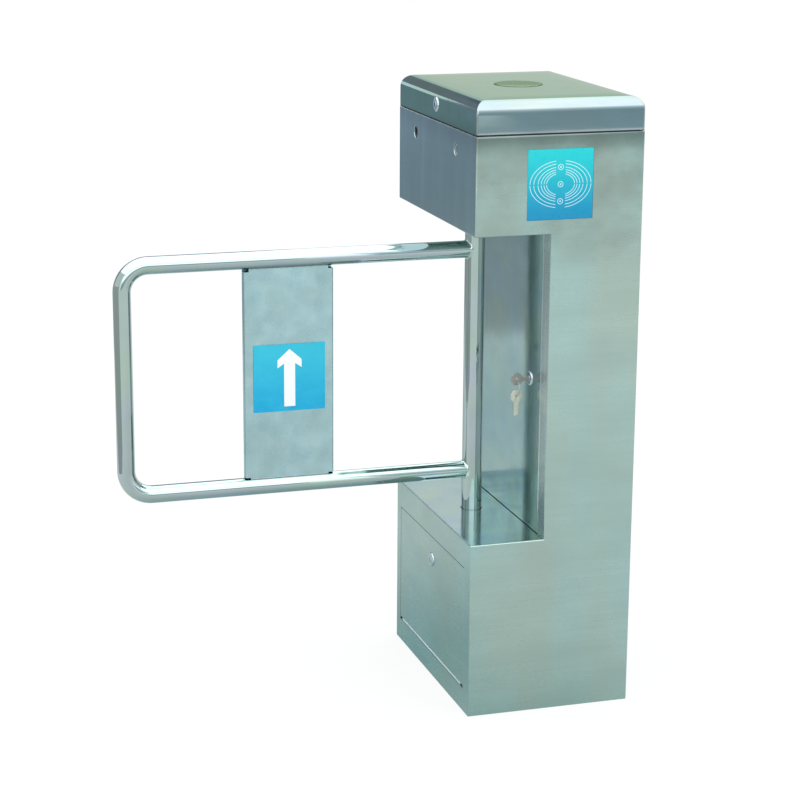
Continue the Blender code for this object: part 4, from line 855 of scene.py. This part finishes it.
def make_cabinet(finishes):
    """Sheet panels with pressed bends where the front and rear turn into the sides."""
    steel = finishes["hairline"]
    for name, face in (("front_panel", front), ("rear_panel", back)):
        bm = copy_of(name)
        lean_lip(bm, Y, face)
        lines = [{X: x, Y: face} for x in (left, right, wall_x)]
        for z in (head_floor, notch_floor):
            lines += [{Z: z, Y: face}, {X: left, Z: z}]
        bend(bm, *lines)
        dress(name, bm, steel, SHEET_EDGE)

    low = front + sheet
    high = back - sheet
    bm = plate("X", right - sheet, right, rectangle((low, 0), (high, seam)))
    lean_lip(bm, X, right)
    dress("right_side_panel", bm, steel, SHEET_EDGE)

    spots = [extent(name)[2].yz for name in ("sensor_front", "sensor_rear")]
    holes = [circle(SENSOR_RADIUS, spot) for spot in spots]
    bm = plate("X", left, left + sheet, rectangle((low, head_floor), (high, seam)), holes)
    lean_lip(bm, X, left)
    bend(bm, {X: left, Z: head_floor})
    rims = []
    for edge in bm.edges:
        start, end = [v.co for v in edge.verts]
        middle = (start + end) / 2
        near = min(math.dist(spot, middle.yz) for spot in spots) < 2 * SENSOR_RADIUS
        if near and abs(start.x - left) + abs(end.x - left) < SAME:
            rims.append(edge)
    bmesh.ops.bevel(bm, geom=rims, offset=HOLE_RIM, segments=BEND_STEPS, profile=0.5, affect="EDGES")
    dress("head_side_panel", bm, finishes["hairline_side"], 0)

    bm = copy_of("lower_side_frame")
    close_fit(bm, Y, low, high)
    bend(bm, {X: left, Z: notch_floor})
    dress("lower_side_frame", bm, steel, SHEET_EDGE)

    deck = rectangle((left + sheet, low), (wall_x + sheet, high))
    hole = circle(post_radius + POST_HOLE_MARGIN, (post_x, 0))
    bm = plate("Z", head_floor, head_floor + sheet, deck, [hole])
    dress("head_floor_panel", bm, steel, SHEET_EDGE)
    bm = plate("Z", notch_floor - sheet, notch_floor, deck, [hole])
    dress("notch_floor_panel", bm, finishes["mirror"], SHEET_EDGE)

    for name in ("notch_front_flange", "notch_rear_flange"):
        bm = copy_of(name)
        close_fit(bm, Y, low, high)
        close_fit(bm, Z, notch_floor, head_floor)
        dress(name, bm, finishes["flange"])

    for name, face, finish, edge, radius in (
        ("notch_cover", wall_x, finishes["mirror"], SHEET_EDGE, BEND_RADIUS),
        ("lower_door", left, steel, PART_EDGE, DOOR_BEND_RADIUS),
    ):
        panel_low, panel_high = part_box(name)
        bm = copy_of(name)
        bend(bm, {X: face, Y: panel_low.y}, {X: face, Y: panel_high.y}, radius=radius)
        dress(name, bm, finish, edge)


def lid_ring(inset, z):
    low = (left + inset, front + inset)
    high = (right - inset, back - inset)
    return [(x, y, z) for x, y in rounded(rectangle(low, high), LID_CORNER_RADIUS)]


def make_lid(finishes):
    """A folded lid: rounded top edges, mitred and ground at the corners, and a disc on top."""
    low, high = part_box("top_lid")
    crown = high.z - LID_CROWN
    spring = crown - LID_EDGE_RADIUS
    outside = []
    for turn in quarter(ARC_STEPS):
        draw = LID_BULGE + LID_RIM * (1 - math.sin(turn))
        outside.append(lid_ring(draw, low.z + LID_RIM * (1 - math.cos(turn))))
    rim = low.z + LID_RIM
    for k in range(1, LID_WALL_STEPS):
        share = k / LID_WALL_STEPS
        outside.append(lid_ring(LID_BULGE * (2 * share - 1) ** 2, rim + (spring - rim) * share))
    inside = [lid_ring(sheet, low.z)]
    inner_radius = LID_EDGE_RADIUS - sheet
    for turn in quarter(LID_EDGE_STEPS):
        draw = 1 - math.cos(turn)
        rise = math.sin(turn)
        outside.append(lid_ring(LID_BULGE + LID_EDGE_RADIUS * draw, spring + LID_EDGE_RADIUS * rise))
        inside.append(lid_ring(sheet + inner_radius * draw, spring + inner_radius * rise))
    outside.append(lid_ring(LID_EDGE_RADIUS + LID_CROWN_WIDTH, high.z))
    bm = joined_rings(inside[::-1] + outside)
    housing_low, housing_high, middle = extent("lid_lock_housing")
    barrel = (housing_high.z - housing_low.z) / 2 * LOCK_BARREL_SHARE
    hole = circle(barrel + TOUCH, middle.yz)
    bm = cut(bm, plate("X", left - OVERRUN, left + sheet + OVERRUN, hole))
    dress("top_lid", bm, finishes["lid"], 0)

    low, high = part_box("lid_top_disc")
    radius = (high.x - low.x) / 2
    profile = [(0, low.z - TOUCH), (radius, low.z - TOUCH), (radius, low.z + TOUCH)]
    profile += [(radius - DISC_BEVEL, high.z), (0, high.z)]
    disc = rounded(profile, DISC_BEVEL, closed=False)
    dress("lid_top_disc", turned(disc, (0, 0, 0)), finishes["disc"], 0)


def slot_block(middle, start, end):
    """A block as wide and as high as a lock's key slot, from one place along X to another."""
    half_width = LOCK_SLOT_WIDTH / 2
    half_height = LOCK_SLOT_HEIGHT / 2
    low = (start, middle.y - half_width, middle.z - half_height)
    return box(low, (end, middle.y + half_width, middle.z + half_height))


def make_locks(finishes):
    """Domed lock heads, each with a turning plug and its key slot, shuttered if no key is in it."""
    for prefix in ("lid_lock", "door_lock", "cover_lock"):
        low, high, middle = extent(prefix + "_housing")
        plug_low, plug_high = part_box(prefix + "_plug")
        neck_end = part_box(prefix + "_cam")[1].x + TOUCH
        place = (0, middle.y, middle.z)
        radius = (high.z - low.z) / 2
        barrel = radius * LOCK_BARREL_SHARE
        face = wall_x if prefix == "cover_lock" else left
        bore = LOCK_PLUG_RADIUS + TOUCH
        housing = [(bore, high.x), (barrel, high.x), (barrel, face), (radius, face)]
        for turn in quarter(ARC_STEPS * 2)[1:]:
            rim = radius - LOCK_RIM * (1 - math.cos(turn))
            housing.append((rim, face - (face - low.x) * math.sin(turn)))
        housing += [(bore + LOCK_FACE_DISH, low.x), (bore, low.x + LOCK_FACE_DISH)]
        dress(prefix + "_housing", turned(housing, place, "X"), finishes["chrome"], 0)

        stem = [(0, plug_low.x), (LOCK_PLUG_RADIUS, plug_low.x), (LOCK_PLUG_RADIUS, high.x)]
        stem += [(LOCK_NECK_RADIUS, high.x), (LOCK_NECK_RADIUS, neck_end), (LOCK_SCREW_RADIUS, neck_end)]
        stem += [(LOCK_SCREW_RADIUS, plug_high.x), (0, plug_high.x)]
        stem = rounded(stem, LOCK_FACE_DISH, steps=EDGE_STEPS, closed=False)
        slot = slot_block(middle, plug_low.x - OVERRUN, plug_low.x + LOCK_SLOT_DEPTH)
        dress(prefix + "_plug", cut(turned(stem, place, "X"), slot), finishes["chrome"], 0)
        if prefix != "cover_lock":
            start = plug_low.x + LOCK_SHUTTER_DEPTH
            shutter = slot_block(middle, start, start + LOCK_FACE_DISH)
            piece(prefix + "_shutter", shutter, finishes["black"], body_of[prefix + "_plug"], FILM_EDGE)


def make_key_ring(finishes, wire):
    """The ring that holds the spare key: a wire wound round twice."""
    low, high, centre = extent("key_ring")
    wire_radius = (high.x - low.x) / 4
    radius = (high.z - low.z) / 2 - wire_radius
    points = FINE_SIDES * KEY_RING_TURNS
    path = []
    for k in range(points + 1):
        turn = 2 * math.pi * KEY_RING_TURNS * k / points
        shift = (k / points - 0.5) * 2 * wire_radius
        across = radius * math.sin(turn)
        path.append((centre.x + shift, centre.y + across, centre.z + radius * math.cos(turn)))
    ring = grown("key_ring_finished", line_source([path]), wire, body_of["key_ring"],
                 Radius=wire_radius * KEY_WIRE_SHARE, Finish=finishes["zinc"])
    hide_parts("key_ring")


# Gate


def tube_ring(centre, angle, radius, saddle):
    """A ring of the gate tube, square to its way along, or cut to fit the post's side."""
    ring = []
    for turn in turns(TUBE_SIDES):
        across = radius * math.cos(turn)
        y = radius * math.sin(turn)
        x = centre[0] - across * math.sin(angle)
        z = centre[1] + across * math.cos(angle)
        if saddle:
            x = post_x - math.sqrt(post_radius ** 2 - y ** 2)
        ring.append((x, y, z))
    return ring


def fillet(centre_z):
    """A ground weld fillet between the post's side and an end of the gate tube."""
    rings = [[] for step in range(WELD_STEPS + 2)]
    for turn in turns(TUBE_SIDES):
        out = Vector((0, math.sin(turn), math.cos(turn)))
        root = Vector((0, 0, centre_z)) + out * TUBE_RADIUS
        root.x = post_x - math.sqrt(post_radius ** 2 - root.y ** 2)
        toe = root + out * WELD_WIDTH
        toe_limit = post_radius * TOE_LIMIT_SHARE
        toe.y = max(-toe_limit, min(toe_limit, toe.y))
        toe.x = post_x - math.sqrt(post_radius ** 2 - toe.y ** 2)
        start = root + Vector((-WELD_LEG, 0, 0)) + out * SAME
        for step in range(WELD_STEPS + 1):
            share = step / WELD_STEPS
            rings[step].append(start.lerp(root, share).lerp(root.lerp(toe, share), share))
        rings[-1].append(root - out * SAME + Vector((WELD_ROOT, 0, 0)))
    return joined_rings(rings, closed=True)


def make_gate(finishes, weld):
    """The post, the U-bent tube with its welds, and the rows of weld that hold the sign plate."""
    tube_low, tube_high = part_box("gate_tube")
    upper = tube_high.z - TUBE_RADIUS
    lower = tube_low.z + TUBE_RADIUS
    outer_x = tube_low.x + TUBE_RADIUS
    bend_x = outer_x + BEND_LINE_RADIUS
    route = [(post_x, upper, math.pi, True)]
    for start, bend_z in ((0, upper - BEND_LINE_RADIUS), (1, lower + BEND_LINE_RADIUS)):
        for k in range(TUBE_BEND_STEPS + 1):
            turn = math.pi / 2 * (start + k / TUBE_BEND_STEPS)
            x = bend_x - BEND_LINE_RADIUS * math.sin(turn)
            z = bend_z + BEND_LINE_RADIUS * math.cos(turn)
            route.append((x, z, math.pi + turn, False))
    route.append((post_x, lower, 2 * math.pi, True))
    steel = finishes["tube"]
    outside, inside = [
        [tube_ring((x, z), angle, radius, end) for x, z, angle, end in route]
        for radius in (TUBE_RADIUS, TUBE_RADIUS - TUBE_WALL)]
    dress("gate_tube", joined_rings(outside + inside[::-1], closed=True), steel, 0)
    for name, height in (("upper_tube_weld", upper), ("lower_tube_weld", lower)):
        piece(name, fillet(height), steel, "gate", 0)

    inner = post_radius - sheet
    profile = rectangle((inner, post_low.z), (post_radius, post_high.z))
    dress("post", turned(rounded(profile, sheet / 4), (post_x, 0, 0)), steel, 0)

    low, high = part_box("sign_plate")
    margin = (high.x - low.x) * BEAD_MARGIN_SHARE
    beads = []
    for y in (low.y + sheet / 4, high.y - sheet / 4):
        for z in (low.z, high.z):
            beads.append([(low.x + margin, y, z), (high.x - margin, y, z)])
    grown("plate_welds", line_source(beads), weld, "gate",
          Pitch=BEAD_PITCH, Radius=BEAD_RADIUS, Finish=finishes["weld"])


# Reader and sensors


def make_reader(finishes, strips):
    """The print on the pane: rings of arcs round a bare middle, and a column of marks."""
    middle = (pane_low + pane_high) / 2
    y = pane_low.y - ARC_FILM / 2
    arcs = []
    for half_width in ARC_HALF_WIDTHS:
        half_height = half_width * ARC_HEIGHT_SHARE
        end = math.acos(ARC_COLUMN_HALF / half_width)
        start = math.asin(ARC_SPLIT_HALF / half_height)
        for across in (-1, 1):
            for up in (-1, 1):
                path = []
                for k in range(ARC_POINTS + 1):
                    turn = start + (end - start) * k / ARC_POINTS
                    x = middle.x + across * half_width * math.cos(turn)
                    path.append((x, y, middle.z + up * half_height * math.sin(turn)))
                arcs.append(path)
    grown("reader_arcs", line_source(arcs), strips, "cabinet",
          Width=ARC_FILM, Height=ARC_LINE, Finish=finishes["ink"])
    rings = []
    dots = bmesh.new()
    skin = y - ARC_FILM / 2
    for k in (-1, 0, 1):
        z = middle.z + k * MARK_SPACING
        rings.append([(u, y, v) for u, v in circle(MARK_RADIUS, (middle.x, z), SMALL_SIDES * 2)])
        profile = [(0, y), (MARK_DOT_RADIUS, y), (MARK_DOT_RADIUS, skin), (0, skin)]
        dots.from_mesh(mesh_of("dot", turned(profile, (middle.x, 0, z), "Y", SMALL_SIDES)))
    piece("reader_dots", dots, finishes["ink"], "cabinet", 0)
    # The section of a closed line lies a quarter turn round from that of an open line.
    grown("reader_rings", line_source(rings, closed=True), strips, "cabinet",
          Width=ARC_LINE, Height=ARC_FILM, Finish=finishes["ink"])


def make_sensors(finishes):
    """Photo sensors: a flanged body with a domed lens at the bottom of its pocket."""
    for name, body_look, lens_look in (
        ("sensor_front", "pale_lens", "pale_lens"),
        ("sensor_rear", "black", "lens"),
    ):
        low, high, middle = extent(name)
        dress(name, copy_of(name), finishes[body_look])
        pocket = low.x + 2 * sheet
        radius = (high.z - low.z) / 4
        lens = [(0, pocket + sheet), (radius, pocket + sheet)]
        for turn in quarter(ARC_STEPS):
            lens.append((radius * math.cos(turn), pocket + sheet / 2 - sheet * math.sin(turn)))
        dome = turned(lens, (0, middle.y, middle.z), "X", SMALL_SIDES * 2)
        piece(name + "_lens", dome, finishes[lens_look], "cabinet", 0)


# Works inside


def spots_on(name, axis, side, first, second, thick=None):
    """Spots on a face of a node's box, at shares along its other two axes, and the way they face.

    With a thickness, the face is that of a leaf which starts at the far side of the box.
    """
    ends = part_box(name)
    others = [other for other in (X, Y, Z) if other != axis]
    way = Vector((0, 0, 0))
    way[axis] = 1 if side else -1
    spots = []
    for u in first:
        for v in second:
            place = Vector(ends[side])
            if thick is not None:
                place[axis] = ends[1 - side][axis] + way[axis] * thick
            for other, share in zip(others, (u, v)):
                place[other] = ends[0][other] + (ends[1][other] - ends[0][other]) * share
            spots.append((place, way))
    return spots


def make_fasteners(finishes, fasteners):
    """Rivets in the hinge leaves, and socket screws in the bearings, drive and electrics."""
    frame_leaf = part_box("door_hinge_frame_leaf")[1].x - left
    motor_low, motor_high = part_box("motor")
    cap = motor_high.z - motor_low.z - FLANGE
    for name, radius, socket, faces in (
        ("body_hinge_rivets", RIVET_RADIUS, False, (
            ("lid_hinge_body_leaf", X, 1, ROW, BELOW_PIN, LEAF),
            ("door_hinge_frame_leaf", X, 1, ROW, BELOW_PIN, frame_leaf),
        )),
        ("lid_hinge_rivets", RIVET_RADIUS, False, (("lid_hinge_lid_leaf", X, 1, ROW, ABOVE_PIN, LEAF),)),
        ("door_hinge_rivets", RIVET_RADIUS, False, (("door_hinge_door_leaf", X, 1, ROW, ABOVE_PIN),)),
        ("frame_screws", SCREW_RADIUS, True, (
            ("upper_bearing", Z, 1, ENDS, ENDS, FLANGE),
            ("lower_bearing", Z, 0, ENDS, ENDS, FLANGE),
            ("drive_bridge", Z, 1, ENDS, EDGES, FLANGE),
            ("motor", Z, 1, CAP_ENDS, MIDDLE, cap),
            ("mounting_rail", X, 0, EDGES, MIDDLE),
        )),
        ("case_screws", CASE_SCREW_RADIUS, True, (
            ("controller", X, 0, CORNERS, CORNERS),
            ("power_supply", X, 0, CORNERS, CORNERS),
            ("card_reader", Y, 1, CORNERS, CORNERS),
        )),
    ):
        spots = [spot for face in faces for spot in spots_on(*face)]
        head = head_pattern(socket)
        grown(name, spot_source(spots), fasteners, body_of[faces[0][0]],
              Pattern=head, Radius=radius, Finish=finishes["zinc"])
        bpy.data.objects.remove(head)


def make_works(finishes):
    """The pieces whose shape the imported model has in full: each gets its finish and its edges."""
    for look, edge, names in (
        ("hinge", FILM_EDGE, ("door_hinge_pin", "door_hinge_door_leaf")),
        ("zinc", FILM_EDGE, (
            "lid_hinge_body_leaf", "lid_hinge_pin", "lid_hinge_lid_leaf", "mounting_rail")),
        ("zinc", PART_EDGE, (
            "base_plate", "lid_lock_cam", "door_lock_cam", "cover_lock_cam", "lid_catch", "door_catch",
            "drive_bridge", "stop_bracket", "stop_arm", "drive_gear", "pinion", "power_supply",
            "upper_bearing", "lower_bearing")),
        ("cast", PART_EDGE, ("gearbox",)),
        ("enamel", PART_EDGE, ("motor",)),
        ("black", PART_EDGE, ("photo_switch", "cable_gland")),
        ("black", CASE_EDGE, ("card_reader",)),
        ("black", FILM_EDGE, ("limit_disc",)),
        ("grey", PART_EDGE, ("controller",)),
        ("rubber", PART_EDGE, ("stop_buffer",)),
        ("rubber", FILM_EDGE, ("lid_seal",)),
        ("pane", SHEET_EDGE, ("reader_window",)),
        ("plate", SHEET_EDGE, ("sign_plate",)),
        ("blue_film", SHEET_EDGE, ("arrow_sign",)),
        ("white_film", FILM_EDGE, ("sign_arrow",)),
        ("shaded_key", KEY_EDGE, ("key",)),
        ("new_key", KEY_EDGE, ("spare_key",)),
    ):
        for name in names:
            dress(name, copy_of(name), finishes[look], edge)

    # The hinge's frame leaf is widened to the door's sides, so that its line is as long as the door.
    door_low, door_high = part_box("lower_door")
    low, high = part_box("door_hinge_frame_leaf")
    leaf = copy_of("door_hinge_frame_leaf")
    slide(leaf, Y, low.y, door_low.y - TOUCH)
    slide(leaf, Y, high.y, door_high.y + TOUCH)
    dress("door_hinge_frame_leaf", leaf, finishes["hinge"], FILM_EDGE)


# Studio


def make_camera():
    turn, dip, roll = CAMERA_TURN, CAMERA_DIP, CAMERA_ROLL
    ahead = Vector((math.sin(turn) * math.cos(dip), math.cos(turn) * math.cos(dip), -math.sin(dip)))
    level = Vector((math.cos(turn), -math.sin(turn), 0))
    rise = level.cross(ahead)
    across = level * math.cos(roll) + rise * math.sin(roll)
    up = rise * math.cos(roll) - level * math.sin(roll)
    data = bpy.data.cameras.new("camera")
    data.lens = FOCAL_PIXELS / IMAGE_PIXELS * SENSOR_MILLIMETRES
    data.sensor_width = SENSOR_MILLIMETRES
    data.clip_end = 2 * STUDIO_HALF
    camera = placed("camera", data)
    facing = Matrix((across, up, -ahead)).transposed().to_4x4()
    camera.matrix_world = Matrix.Translation(CAMERA_PLACE) @ facing
    bpy.context.scene.camera = camera


def stage_plane(name, corners, material):
    mesh = bpy.data.meshes.new(name)
    mesh.from_pydata(corners, [], [range(len(corners))])
    mesh.materials.append(material)
    thing = placed(name, mesh)
    return thing


def new_glow(name):
    """A material that only glows, and its emptied node tree."""
    material = bpy.data.materials.new(name)
    material.use_nodes = True
    material.node_tree.nodes.clear()
    return material, material.node_tree


def room_card(name, start, end, lean, stops):
    """An upright card of the room. Its light runs from stop to stop in height."""
    material, tree = new_glow(name)
    place = node(tree, "ShaderNodeTexCoord", out="Object")
    height = node(tree, "ShaderNodeSeparateXYZ", {0: place}, "Z")
    bottom, top = stops[0][0], stops[-1][0]
    share = node(tree, "ShaderNodeMapRange", {"Value": height, "From Min": bottom, "From Max": top})
    ramp = node(tree, "ShaderNodeValToRGB", {"Fac": share})
    elements = ramp.node.color_ramp.elements
    while len(elements) < len(stops):
        elements.new(1)
    for element, (z, light) in zip(elements, stops):
        element.position = (z - bottom) / (top - bottom)
        element.color = [*light, 1]
    glow = node(tree, "ShaderNodeEmission", {"Color": ramp})
    node(tree, "ShaderNodeOutputMaterial", {"Surface": glow})
    far = (end[0] + lean, end[1])
    corners = [(*start, bottom), (*end, bottom), (*far, top), (*start, top)]
    shown_to_steel(stage_plane(name, corners, material))


def shown_to_steel(card):
    """Keeps a card out of the picture and out of the soft light: only reflections show it."""
    card.visible_camera = False
    card.visible_diffuse = False
    card.visible_shadow = False


def pool(tree, place, centre, reach, depth):
    """A soft dim pool on the floor, from its depth at the centre to zero at its reach."""
    moved = node(tree, "ShaderNodeVectorMath", {0: place, 1: (*centre, 0)}, operation="SUBTRACT")
    shares = {0: moved, 1: (1 / reach[0], 1 / reach[1], 0)}
    sized = node(tree, "ShaderNodeVectorMath", shares, operation="MULTIPLY")
    length = node(tree, "ShaderNodeVectorMath", {0: sized}, "Value", operation="LENGTH")
    limits = {"Value": length, "From Min": 0, "From Max": 1, "To Min": depth, "To Max": 0}
    return node(tree, "ShaderNodeMapRange", limits, interpolation_type="SMOOTHSTEP")


def make_floor():
    """A white floor that keeps the object's shadow. Reflections show it dimmer near the cabinet."""
    floor, tree = new_glow("studio_floor")
    place = node(tree, "ShaderNodeTexCoord", out="Object")
    shiny = node(tree, "ShaderNodeLightPath", out="Is Glossy Ray")
    layers = []
    for centre, reach, depth, tone in FLOOR_POOLS:
        shares = {0: pool(tree, place, centre, reach, depth), 1: shiny}
        layers.append(("MIX", node(tree, "ShaderNodeMath", shares, operation="MULTIPLY"), tone))
    colour = layered(tree, (*PALE, 1), layers)
    glow = node(tree, "ShaderNodeEmission", {"Color": colour, "Strength": FLOOR_GLOW})
    paint = node(tree, "ShaderNodeBsdfDiffuse", {"Color": (FLOOR_PAINT, FLOOR_PAINT, FLOOR_PAINT, 1)})
    both = node(tree, "ShaderNodeAddShader", {0: paint, 1: glow})
    node(tree, "ShaderNodeOutputMaterial", {"Surface": both})
    corners = rectangle((-STUDIO_HALF, -STUDIO_HALF), (STUDIO_HALF, STUDIO_HALF))
    stage_plane("studio_floor", [(x, y, 0) for x, y in corners], floor)


def make_studio():
    """A white floor and world, a soft lamp overhead, and the room that the steel shows."""
    make_floor()
    world = bpy.data.worlds.new("studio_world")
    bpy.context.scene.world = world
    world.use_nodes = True
    sky = world.node_tree.nodes["Background"]
    connect(world.node_tree, sky, {"Color": (*PALE, 1), "Strength": 1})

    lamp = bpy.data.lights.new("overhead_lamp", "AREA")
    lamp.shape = "SQUARE"
    lamp.size = LAMP_SIZE
    lamp.energy = LAMP_WATTS
    lamp_object = placed("overhead_lamp", lamp)
    lamp_object.location = (0, -LAMP_LEAN, LAMP_HEIGHT)
    lamp_object.visible_glossy = False

    for name, (start, end, lean, stops) in ROOM_CARDS.items():
        room_card(name, start, end, lean, stops)
    ceiling, tree = new_glow("ceiling_card")
    glow = node(tree, "ShaderNodeEmission", {"Color": (*PALE, 1), "Strength": CEILING_LIGHT})
    node(tree, "ShaderNodeOutputMaterial", {"Surface": glow})
    corners = [(x, y, CEILING_HEIGHT) for x, y in rectangle(CEILING_LOW, CEILING_HIGH)]
    shown_to_steel(stage_plane("ceiling_card", corners, ceiling))


def main():
    make_camera()
    make_studio()
    finishes = make_finishes()
    make_cabinet(finishes)
    make_lid(finishes)
    make_locks(finishes)
    make_key_ring(finishes, follow_tree(
        "round_wire", "GeometryNodeCurvePrimitiveCircle", ("Radius",), Resolution=WIRE_SIDES))
    make_gate(finishes, weld_tree())
    make_reader(finishes, follow_tree(
        "film_strips", "GeometryNodeCurvePrimitiveQuadrilateral", ("Width", "Height")))
    make_sensors(finishes)
    make_works(finishes)
    make_fasteners(finishes, fastener_tree())
    bpy.context.scene.view_settings.view_transform = "Standard"


main()
